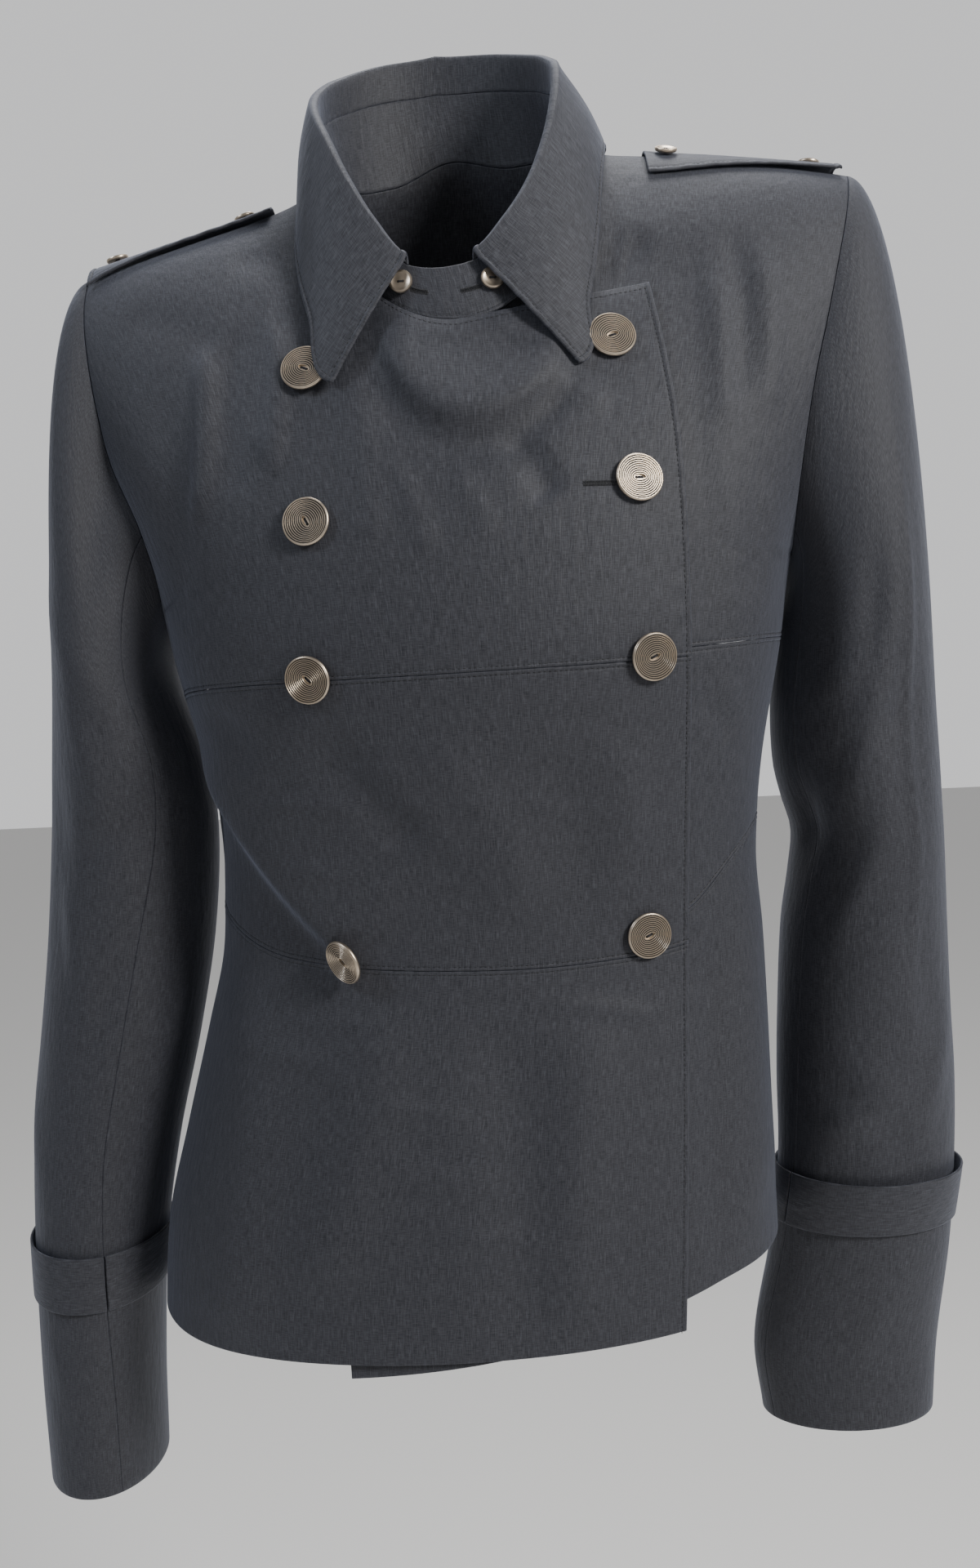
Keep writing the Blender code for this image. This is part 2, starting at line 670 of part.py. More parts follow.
def make_sleeves():
    """A top sleeve and an under sleeve for each arm."""
    for side, word in ((-1, "right"), (1, "left")):
        for upper, piece in ((True, "_top_sleeve"), (False, "_under_sleeve")):
            outer, inner = [], []
            for length in sleeve_lengths():
                angles = sleeve_angles(side, length, upper)
                line = [sleeve_point(side, angle, length) for angle in angles]
                normals = [sleeve_normal(side, angle, length) for angle in angles]
                outer.append(line)
                inner.append([point - normal * CLOTH for point, normal in zip(line, normals)])
            wall_between(word + piece, outer, inner, CLOTH_MATERIAL)


def make_cuff_straps():
    """Straps caught in the sleeve seams, one length over each sleeve piece."""
    for side, middle_z, gape in CUFF_STRAPS:
        word = "left" if side > 0 else "right"
        rows = SLEEVES[side]
        head_z, hem_z = rows[-1][0], rows[0][0]
        for upper, piece in ((True, "_cuff_strap"), (False, "_cuff_strap_under")):
            outer, inner = [], []
            for share in (0.0, 0.5, 1.0):
                height = middle_z + (share - 0.5) * STRAP_HEIGHT
                length = 1 + (head_z - height) / (head_z - hem_z)
                angles = sleeve_angles(side, length, upper)
                inset = 0.6
                angles[0] += inset
                angles[-1] -= inset
                outer_line, inner_line = [], []
                for angle in angles:
                    point = sleeve_point(side, angle, length)
                    normal = sleeve_normal(side, angle, length)
                    open_share = gape * share * max(math.cos(math.radians(angle - 60.0)), 0.0)
                    lift = STRAP_LIFT + (open_share if upper else 0.0)
                    outer_line.append(point + normal * lift)
                    inner_line.append(point + normal * (lift - CLOTH))
                outer.append(outer_line)
                inner.append(inner_line)
            wall_between(word + piece, outer, inner, CLOTH_MATERIAL)


def collar_ring(angle, inset=0.0):
    """Across and depth of the collar's fold ring, moved in by inset."""
    turn = math.radians(angle)
    return (COLLAR_MID[0] + (COLLAR_HALF[0] - inset) * math.sin(turn),
            COLLAR_MID[1] - (COLLAR_HALF[1] - inset) * math.cos(turn))


def collar_row(angle):
    """Table row at an angle, wrapped to half a turn each way."""
    wrapped = (angle + 180.0) % 360.0 - 180.0
    return read_table(COLLAR_LINES, wrapped)


def stand_point(angle, share, lift=0.0):
    """Point of the stand's outer face, from the neck seam (0) to the fall's seam (1)."""
    wrapped = (angle + 180.0) % 360.0 - 180.0
    x, z = neck_seam(wrapped)
    back = abs(wrapped) > 90.0
    low = on_body(x, z, 0.0, back)
    low.z += 2 * HALF_SEAM
    fold_z, drop = collar_row(angle)[:2]
    ring_x, ring_y = collar_ring(angle, 0.0)
    high = Vector((ring_x, ring_y, fold_z - drop))
    point = low.lerp(high, share)
    covered = 1 - ease((angle - STAND_COVERED) / 60.0)
    outward = Vector((math.sin(math.radians(wrapped)), -math.cos(math.radians(wrapped)), 0.0))
    return point + outward * (lift - LAP_STEP * covered)


def make_collar():
    """Stand round the neck, then the fall with its two leaves."""
    steps = int((STAND_OVER_END - STAND_UNDER_END) / NECK_STEP) + 1
    angles = [STAND_UNDER_END] + [i * NECK_STEP for i in range(steps)] + [STAND_OVER_END]
    angles = sorted({angle for angle in angles if STAND_UNDER_END <= angle <= STAND_OVER_END})
    outer = [[stand_point(angle, share) for angle in angles] for share in (0.0, 0.5, 1.0)]
    inner = [[stand_point(angle, share, -CLOTH) for angle in angles] for share in (0.0, 0.5, 1.0)]
    wall_between("collar_stand", outer, inner, CLOTH_MATERIAL)

    angles = [LEAF_FRONT_ANGLE + i * NECK_STEP for i in range(23)]
    columns = [fall_column(angle) for angle in angles]
    outer = [list(line) for line in zip(*columns)]
    normals = grid_normals(outer)
    inner = [[point - normal * CLOTH for point, normal in zip(line, normal_line)]
             for line, normal_line in zip(outer, normals)]
    wall_between("collar_fall", outer, inner, CLOTH_MATERIAL)


def fall_column(angle):
    """Outer face of the fall at an angle: up from the stand's seam, over, and down to the edge."""
    wrapped = (angle + 180.0) % 360.0 - 180.0
    fold_z, drop, edge_x, edge_z, edge_lift = collar_row(angle)
    outward = Vector((math.sin(math.radians(wrapped)), -math.cos(math.radians(wrapped)), 0.0))
    ring = Vector((*collar_ring(angle), fold_z))
    inside = ring - outward * CLOTH
    width = FOLD_WIDTH
    points = [inside - Vector((0, 0, drop - 2 * HALF_SEAM)), inside - Vector((0, 0, 0.0032))]
    points.append(ring + outward * (width * 0.28 - CLOTH) - Vector((0, 0, 0.0004)))
    points.append(ring + outward * (width * 0.72 - CLOTH) - Vector((0, 0, 0.0004)))
    start = ring + outward * (width - CLOTH) - Vector((0, 0, 0.0038))
    edge = on_body(edge_x, edge_z, edge_lift, abs(wrapped) > 90.0)
    for i in range(5):
        share = i / 4
        bulge = 0.0025 * math.sin(math.pi * share)
        points.append(start.lerp(edge, share) + outward * bulge)
    return points


def grid_normals(grid):
    """Normal at each point of a grid, from its neighbours, away from the collar's hollow."""
    normals = []
    for i, line in enumerate(grid):
        row = []
        for j, point in enumerate(line):
            round_step = line[min(j + 1, len(line) - 1)] - line[max(j - 1, 0)]
            down_step = grid[min(i + 1, len(grid) - 1)][j] - grid[max(i - 1, 0)][j]
            row.append(round_step.cross(down_step).normalized() * -1)
        normals.append(row)
    return normals


def strap_point(side, share, width_share, lift=0.0):
    """Point of a shoulder strap: share along from the inner end, width_share from -1 to 1."""
    inner_end, outer_end, end_lift = SHOULDER_STRAPS[side]
    x, middle_y, gape = (mix(inner_end[k], outer_end[k], share) for k in range(3))
    y = middle_y + width_share * SHOULDER_STRAP_WIDTH / 2
    lifted = SHOULDER_STRAP_LIFT + end_lift * share ** 4 + gape * max(-width_share, 0.0) ** 1.5
    return Vector((x, y, shoulder_top(x, y) + lifted + lift))


def make_shoulder_straps():
    """A strap along each shoulder, held by a button at each end."""
    for side, word in ((-1, "right"), (1, "left")):
        shares = [i / 7 for i in range(8)]
        widths = (-1.0, -0.6, -0.25, 0.0, 0.5, 1.0)
        outer = [[strap_point(side, share, width) for share in shares] for width in widths]
        inner = [[strap_point(side, share, width, -CLOTH) for share in shares] for width in widths]
        wall_between(word + "_shoulder_strap", outer, inner, CLOTH_MATERIAL)


def turned_button(name, radius, material):
    """Button turned from a profile: a foot of thread, a flat back, a rim and a dished face."""
    foot, thick = 0.0008, 0.0026 if radius > 0.01 else 0.0020
    profile = [(0.0, thick * 0.72 + foot), (radius * 0.55, thick * 0.80 + foot),
               (radius * 0.86, thick + foot), (radius, thick * 0.62 + foot),
               (radius * 0.93, foot), (radius * 0.22, foot), (radius * 0.22, 0.0), (0.0, 0.0)]
    mesh = bpy.data.meshes.new(name)
    mesh.from_pydata([(x, 0.0, z) for x, z in profile], [(i, i + 1) for i in range(len(profile) - 1)], [])
    mesh.materials.append(material)
    obj = bpy.data.objects.new(name, mesh)
    PARTS.objects.link(obj)
    turn = obj.modifiers.new("Turn", "SCREW")
    turn.steps = 16 if radius > 0.01 else 12
    turn.render_steps = turn.steps
    turn.use_merge_vertices = True
    turn.merge_threshold = 0.00005
    turn.use_smooth_shade = False
    return obj


def slot_cutter(name, button_radius):
    """Oval cutter for the sunk thread slot of a large button."""
    length, width, depth = button_radius * 0.46, button_radius * 0.20, 0.0010
    mesh = bpy.data.meshes.new(name)
    bm = bmesh.new()
    bmesh.ops.create_cone(bm, cap_ends=True, segments=10, radius1=1.0, radius2=1.0, depth=1.0)
    bmesh.ops.scale(bm, vec=(length / 2, width / 2, 0.004), verts=bm.verts)
    bmesh.ops.translate(bm, vec=(0, 0, 0.0008 + 0.0026 * 0.76 - depth + 0.002), verts=bm.verts)
    bm.to_mesh(mesh)
    bm.free()
    cutter = bpy.data.objects.new(name, mesh)
    cutter.hide_render = True
    cutter.display_type = "WIRE"
    CUTTERS.objects.link(cutter)
    return cutter


def place_button(obj, point, normal, slot_turn=0.0, tip_right=0.0, tip_up=0.0):
    """Stand a button on a point with its face along a normal."""
    across = Vector((0, 0, 1)).cross(normal)
    if across.length < 0.3:
        across = Vector((1, 0, 0))
    across.normalize()
    upward = normal.cross(across).normalized()
    across = upward.cross(normal)
    frame = Matrix((across, upward, normal)).transposed().to_4x4()
    tip = Matrix.Rotation(math.radians(tip_right), 4, "Y") @ Matrix.Rotation(math.radians(-tip_up), 4, "X")
    turn = Matrix.Rotation(math.radians(slot_turn), 4, "Z")
    obj.matrix_world = Matrix.Translation(point) @ frame @ tip @ turn


def seat_height(matrix):
    """Height that a large button needs for its foot and its rim to clear the cloth."""
    needed = 0.0
    for radius, height in ((0.0, 0.0), (LARGE_RADIUS * 0.5, 0.0008), (LARGE_RADIUS, 0.0008)):
        for i in range(24):
            turn = i * math.pi / 12
            rim = matrix @ Vector((radius * math.cos(turn), radius * math.sin(turn), height))
            cloth = on_body(rim.x, rim.z, fold_lift(rim.x, rim.z))
            needed = max(needed, rim.y - cloth.y)
    return needed + 2 * HALF_SEAM


def make_buttons():
    """Eight large buttons in two columns and six small ones."""
    for name, x, z, slot_turn, tip_right, tip_up in LARGE_BUTTONS:
        obj = turned_button(name, LARGE_RADIUS, METAL_MATERIAL)
        cut = obj.modifiers.new("Thread slot", "BOOLEAN")
        cut.operation = "DIFFERENCE"
        cut.object = slot_cutter(name + "_cutter", LARGE_RADIUS)
        normal = body_normal(*body_place(x, z))
        place_button(obj, on_body(x, z, fold_lift(x, z)), normal, slot_turn, tip_right, tip_up)
        obj.matrix_world = Matrix.Translation(normal * seat_height(obj.matrix_world)) @ obj.matrix_world
        cut.object.matrix_world = obj.matrix_world
    for name, angle in STAND_BUTTON_ANGLES:
        obj = turned_button(name, SMALL_RADIUS, METAL_MATERIAL)
        over = angle + 360.0
        point = stand_point(over, 0.5, 2 * HALF_SEAM)
        across = stand_point(over + 2, 0.5) - stand_point(over - 2, 0.5)
        upward = stand_point(over, 1.0) - stand_point(over, 0.0)
        place_button(obj, point, across.cross(upward).normalized())
    for name, side, x, aside_share in SHOULDER_BUTTONS:
        obj = turned_button(name, SMALL_RADIUS, METAL_MATERIAL)
        inner_x, outer_x = (end[0] for end in SHOULDER_STRAPS[side][:2])
        share = (x - inner_x) / (outer_x - inner_x)
        along = strap_point(side, share + 0.06, aside_share) - strap_point(side, share - 0.06, aside_share)
        aside = strap_point(side, share, aside_share + 0.3) - strap_point(side, share, aside_share - 0.3)
        normal = along.cross(aside).normalized() * side
        place_button(obj, strap_point(side, share, aside_share) + normal * 2 * HALF_SEAM, normal)


def make_material(name, colour, roughness, metallic):
    material = bpy.data.materials.new(name)
    material.use_nodes = True
    shader = material.node_tree.nodes["Principled BSDF"]
    shader.inputs["Base Color"].default_value = colour
    shader.inputs["Roughness"].default_value = roughness
    shader.inputs["Metallic"].default_value = metallic
    material.diffuse_color = colour
    return material


for old in list(bpy.data.objects):
    bpy.data.objects.remove(old)
PARTS = bpy.data.collections.new("jacket")
CUTTERS = bpy.data.collections.new("cutters")
bpy.context.scene.collection.children.link(PARTS)
bpy.context.scene.collection.children.link(CUTTERS)
CLOTH_MATERIAL = make_material("charcoal_cloth", CLOTH_COLOUR, 0.75, 0.0)
METAL_MATERIAL = make_material("old_gold_metal", METAL_COLOUR, 0.35, 1.0)
make_body()
make_sleeves()
make_cuff_straps()
make_collar()
make_shoulder_straps()
make_buttons()
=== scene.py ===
"""Military-style jacket: its cloth, buttons and sewing, in the frame of its own model.

Metres, +Z up. The front faces -Y and +X is the wearer's left. Tables have one row per place, and
their columns are named in the comment above each.
"""
import math
import bmesh
import bpy
import numpy as np
from mathutils import Matrix, Vector


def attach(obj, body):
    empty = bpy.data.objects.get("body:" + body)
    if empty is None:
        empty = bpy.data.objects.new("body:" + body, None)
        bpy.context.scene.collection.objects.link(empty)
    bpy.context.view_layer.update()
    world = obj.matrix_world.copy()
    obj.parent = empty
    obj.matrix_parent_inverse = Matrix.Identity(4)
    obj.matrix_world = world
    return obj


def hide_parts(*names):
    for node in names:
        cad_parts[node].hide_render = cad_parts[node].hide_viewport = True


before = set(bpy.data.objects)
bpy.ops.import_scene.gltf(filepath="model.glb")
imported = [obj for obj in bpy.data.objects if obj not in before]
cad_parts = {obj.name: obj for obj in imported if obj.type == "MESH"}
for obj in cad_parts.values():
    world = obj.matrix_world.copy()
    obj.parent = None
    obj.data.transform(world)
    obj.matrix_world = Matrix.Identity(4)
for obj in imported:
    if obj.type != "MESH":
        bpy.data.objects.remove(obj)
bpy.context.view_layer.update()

# Camera and studio: a camera a little above the hem that looks slightly down, a pale floor, one
# large soft light from the upper right of the picture, a weak cool one from its left and one above.
CAMERA_PLACE = (0.0007, -0.87, -0.23)
CAMERA_TIP = 6.0
CAMERA_TURN = 2.5
CAMERA_LENS = 24.04
FLOOR_Z = -1.42
# Lights: name, place, size, power, colour
LIGHTS = (
    ("key_light", (1.45, -1.25, 0.75), 0.60, 50.0, (1.0, 0.985, 0.96)),
    ("window_light", (-1.35, -0.75, 0.85), 0.40, 10.0, (0.80, 0.88, 1.0)),
    ("top_light", (0.15, 0.45, 1.50), 0.80, 26.0, (1.0, 1.0, 1.0)),
)
LIGHT_AIM = (0.0, 0.0, -0.25)
WORLD_FRONT = 0.30
WORLD_BACK = 0.90

camera_data = bpy.data.cameras.new("camera")
camera_data.sensor_fit = "VERTICAL"
camera_data.sensor_height = 24.0
camera_data.lens = CAMERA_LENS
camera = bpy.data.objects.new("camera", camera_data)
bpy.context.scene.collection.objects.link(camera)
camera.matrix_world = (Matrix.Translation(CAMERA_PLACE)
                       @ Matrix.Rotation(math.radians(90 - CAMERA_TIP), 4, "X")
                       @ Matrix.Rotation(math.radians(-CAMERA_TURN), 4, "Z"))
bpy.context.scene.camera = camera

floor_mesh = bpy.data.meshes.new("floor")
floor_mesh.from_pydata([(-9, -9, FLOOR_Z), (9, -9, FLOOR_Z), (9, 9, FLOOR_Z), (-9, 9, FLOOR_Z)],
                       [], [(0, 1, 2, 3)])
floor_paint = bpy.data.materials.new("pale_floor")
floor_paint.use_nodes = True
floor_shader = floor_paint.node_tree.nodes["Principled BSDF"]
floor_shader.inputs["Base Color"].default_value = (0.93, 0.92, 0.90, 1.0)
floor_shader.inputs["Roughness"].default_value = 0.9
floor_mesh.materials.append(floor_paint)
floor = bpy.data.objects.new("floor", floor_mesh)
bpy.context.scene.collection.objects.link(floor)
for light_name, place, size, power, colour in LIGHTS:
    light_data = bpy.data.lights.new(light_name, "AREA")
    light_data.shape = "DISK"
    light_data.size = size
    light_data.energy = power
    light_data.color = colour
    light = bpy.data.objects.new(light_name, light_data)
    light.location = place
    light.rotation_euler = (Vector(LIGHT_AIM) - Vector(place)).to_track_quat("-Z", "Y").to_euler()
    bpy.context.scene.collection.objects.link(light)
world = bpy.data.worlds.new("studio")
world.use_nodes = True
sky = world.node_tree
direction = sky.nodes.new("ShaderNodeTexCoord")
direction_parts = sky.nodes.new("ShaderNodeSeparateXYZ")
sky.links.new(direction.outputs["Generated"], direction_parts.inputs["Vector"])
behind = sky.nodes.new("ShaderNodeMapRange")
for label, value in (("From Min", 0.10), ("From Max", 0.75), ("To Min", WORLD_FRONT), ("To Max", WORLD_BACK)):
    behind.inputs[label].default_value = value
sky.links.new(direction_parts.outputs["Y"], behind.inputs["Value"])
sky.links.new(behind.outputs["Result"], sky.nodes["Background"].inputs["Strength"])
sky.nodes["Background"].inputs["Color"].default_value = (0.86, 0.86, 0.87, 1.0)
bpy.context.scene.world = world


# Cloth: a light charcoal weave with a navy cast, a dull sheen, uneven threads both ways and fine
# pressed-in crinkles. Every cloth piece is cut from it and carries its own grain map in metres.
CLOTH_DARK = (0.0150, 0.0156, 0.0195, 1.0)
CLOTH_LIGHT = (0.0460, 0.0470, 0.0560, 1.0)
CLOTH_STREAK = (0.0620, 0.0630, 0.0740, 1.0)
CLOTH_ROUGHNESS = 0.62
CLOTH_SHEEN = 0.28
THREAD_THICKNESS = 0.00036
SLUB_LENGTH = 0.0080
STREAK_SIZE = (0.0008, 0.0060)
CRINKLE_SIZE = 0.0110
# Sockets of a colour mix: first colour, second colour, result
MIX_FIRST = 6
MIX_SECOND = 7
MIX_RESULT = 2


def link(tree, out_socket, in_socket):
    tree.links.new(out_socket, in_socket)


def add_node(tree, kind, **settings):
    """New node with its settings."""
    node = tree.nodes.new(kind)
    for setting, value in settings.items():
        setattr(node, setting, value)
    return node


def stretched_noise(tree, grain, stretch, detail):
    """Noise over the grain map, with a stretch in metres each way."""
    mapping = add_node(tree, "ShaderNodeMapping")
    mapping.inputs["Scale"].default_value = (1 / stretch[0], 1 / stretch[1], 1.0)
    link(tree, grain, mapping.inputs["Vector"])
    noise = add_node(tree, "ShaderNodeTexNoise", noise_dimensions="2D")
    noise.inputs["Scale"].default_value = 1.0
    noise.inputs["Detail"].default_value = detail
    link(tree, mapping.outputs["Vector"], noise.inputs["Vector"])
    return noise.outputs["Fac"]


def math_node(tree, operation, first, second):
    """Result of a math node whose two inputs are numbers or sockets."""
    node = add_node(tree, "ShaderNodeMath", operation=operation)
    for socket, value in zip(node.inputs, (first, second)):
        if isinstance(value, (int, float)):
            socket.default_value = value
        else:
            link(tree, value, socket)
    return node.outputs["Value"]


cloth = bpy.data.materials.new("charcoal_weave")
cloth.use_nodes = True
weave = cloth.node_tree
cloth_shader = weave.nodes["Principled BSDF"]
cloth_shader.inputs["Roughness"].default_value = CLOTH_ROUGHNESS
cloth_shader.inputs["Sheen Weight"].default_value = CLOTH_SHEEN
cloth_shader.inputs["Sheen Roughness"].default_value = 0.45
cloth_shader.inputs["Sheen Tint"].default_value = (0.62, 0.68, 0.86, 1.0)
cloth_shader.inputs["Specular IOR Level"].default_value = 0.30
grain_map = add_node(weave, "ShaderNodeTexCoord").outputs["UV"]
warp = stretched_noise(weave, grain_map, (THREAD_THICKNESS, SLUB_LENGTH), 2.0)
weft = stretched_noise(weave, grain_map, (SLUB_LENGTH * 0.5, THREAD_THICKNESS), 2.0)
streak = stretched_noise(weave, grain_map, STREAK_SIZE, 3.0)
crinkle = stretched_noise(weave, grain_map, (CRINKLE_SIZE * 0.40, CRINKLE_SIZE * 1.3), 3.0)
threads = math_node(weave, "MULTIPLY", math_node(weave, "ADD", warp, weft), 0.5)
cloth_tone = add_node(weave, "ShaderNodeMix", data_type="RGBA")
tone_share = add_node(weave, "ShaderNodeMapRange")
tone_share.inputs["From Min"].default_value = 0.36
tone_share.inputs["From Max"].default_value = 0.64
link(weave, threads, tone_share.inputs["Value"])
link(weave, tone_share.outputs["Result"], cloth_tone.inputs["Factor"])
cloth_tone.inputs[MIX_FIRST].default_value = CLOTH_DARK
cloth_tone.inputs[MIX_SECOND].default_value = CLOTH_LIGHT
streaked_tone = add_node(weave, "ShaderNodeMix", data_type="RGBA")
streak_share = add_node(weave, "ShaderNodeMapRange")
streak_share.inputs["From Min"].default_value = 0.56
streak_share.inputs["From Max"].default_value = 0.90
link(weave, streak, streak_share.inputs["Value"])
link(weave, streak_share.outputs["Result"], streaked_tone.inputs["Factor"])
link(weave, cloth_tone.outputs[MIX_RESULT], streaked_tone.inputs[MIX_FIRST])
streaked_tone.inputs[MIX_SECOND].default_value = CLOTH_STREAK
link(weave, streaked_tone.outputs[MIX_RESULT], cloth_shader.inputs["Base Color"])
thread_bump = add_node(weave, "ShaderNodeBump")
thread_bump.inputs["Strength"].default_value = 0.30
thread_bump.inputs["Distance"].default_value = 0.0004
link(weave, math_node(weave, "ADD", threads, streak), thread_bump.inputs["Height"])
crinkle_bump = add_node(weave, "ShaderNodeBump")
crinkle_bump.inputs["Strength"].default_value = 0.40
crinkle_bump.inputs["Distance"].default_value = 0.0010
link(weave, crinkle, crinkle_bump.inputs["Height"])
link(weave, thread_bump.outputs["Normal"], crinkle_bump.inputs["Normal"])
link(weave, crinkle_bump.outputs["Normal"], cloth_shader.inputs["Normal"])


# Fronts and back: each cut in three tiers by the underbust and waist seams, the right front worn
# over the left, with bust shape let into the upper and middle tiers. Sewn with rolled seam edges.
CLOTH = 0.0013
HALF_SEAM = 0.00015
LAP_STEP = 0.0028
# Above CLOSE_START the body closes to the shoulder line, rounder at the neck than over the pads
CLOSE_START = -0.200
NECK_CLOSE_POWER = 0.588
PAD_CLOSE_POWER = 0.42
SECTION_POWER = 0.80
FINE = 6
# Body sections: height, right side, left side, depth at centre front, depth at centre back
BODY_SECTIONS = (
    (-0.640, -0.197, 0.154, -0.114, 0.114),
    (-0.555, -0.190, 0.152, -0.109, 0.110),
    (-0.500, -0.176, 0.150, -0.102, 0.103),
    (-0.445, -0.161, 0.149, -0.094, 0.091),
    (-0.405, -0.151, 0.148, -0.090, 0.082),
    (-0.360, -0.149, 0.146, -0.095, 0.080),
    (-0.310, -0.153, 0.150, -0.106, 0.086),
    (-0.250, -0.166, 0.161, -0.117, 0.097),
    (-0.200, -0.176, 0.169, -0.114, 0.104),
    (-0.150, -0.196, 0.187, -0.104, 0.105),
    (-0.100, -0.216, 0.209, -0.092, 0.102),
    (-0.050, -0.236, 0.232, -0.082, 0.100),
    (0.000, -0.250, 0.248, -0.076, 0.100),
    (0.080, -0.255, 0.255, -0.070, 0.100),
)
# Shoulder line: across, height
SHOULDER_LINE = (
    (-0.240, -0.058),
    (-0.200, -0.041),
    (-0.150, -0.0255),
    (-0.102, -0.0105),
    (-0.086, -0.0035),
    (-0.066, 0.010),
    (-0.040, 0.040),
    (-0.006, 0.070),
    (0.030, 0.048),
    (0.064, 0.0175),
    (0.098, 0.0115),
    (0.140, 0.0065),
    (0.204, -0.0035),
    (0.240, -0.012),
)
# Armholes: share of the way down, right x, left x
ARMHOLE = (
    (0.00, -0.200, 0.204),
    (0.12, -0.2005, 0.199),
    (0.25, -0.1985, 0.192),
    (0.40, -0.1945, 0.184),
    (0.55, -0.1890, 0.176),
    (0.73, -0.1755, 0.1695),
    (0.90, -0.1690, 0.1660),
    (1.00, -0.1700, 0.1675),
)
ARMPIT_Z = {-1: -0.226, 1: -0.206}
SIDE_SEAM_HEIGHT = 0.042
ARMHOLE_HEIGHT = 0.220
# Seams round the body: share across from right side to left side, underbust, waist, then both
# on the left front, where they lie higher
SEAM_LINES = (
    (-1.0, -0.268, -0.374, -0.268, -0.374),
    (-0.8, -0.262, -0.385, -0.262, -0.385),
    (-0.5, -0.258, -0.401, -0.258, -0.401),
    (0.0, -0.255, -0.407, -0.254, -0.404),
    (0.3, -0.2535, -0.405, -0.250, -0.397),
    (0.5, -0.252, -0.400, -0.248, -0.383),
    (0.7, -0.250, -0.388, -0.246, -0.356),
    (0.85, -0.248, -0.370, -0.246, -0.344),
    (1.0, -0.246, -0.342, -0.246, -0.342),
)
# Hems: share across, right front, left front, back
HEM_LINES = (
    (-1.0, -0.600, -0.628, -0.600),
    (-0.6, -0.605, -0.620, -0.598),
    (0.0, -0.603, -0.606, -0.592),
    (0.6, -0.600, -0.580, -0.584),
    (1.0, -0.598, -0.573, -0.573),
)
# Edge of the right front, on top, and of the left front, underneath: height, across
FRONT_EDGE = (
    (-0.640, 0.088),
    (-0.500, 0.096),
    (-0.400, 0.100),
    (-0.250, 0.103),
    (-0.150, 0.102),
    (-0.105, 0.098),
    (-0.065, 0.0918),
)
FRONT_CORNER = (0.0918, -0.065)
UNDER_EDGE = (
    (-0.640, -0.083),
    (-0.400, -0.088),
    (-0.250, -0.090),
    (-0.085, -0.088),
)
UNDER_CORNER = (-0.088, -0.085)
# The left front lies a step under the right one between these places, and folds show only beyond it
LAP_CLEAR_X = 0.138
LAP_UNDER_X = 0.110
LAP_TOP_Z = -0.030
LAP_FULL_Z = -0.062
FOLDS_START_X = 0.105
FOLDS_FULL_X = 0.135
NECK_MID_X = -0.006
NECK_HALF_WIDTH = 0.0625
NECK_FRONT_Z = -0.083
NECK_BACK_DEPTH = 0.049
NECK_POWER = 1.1
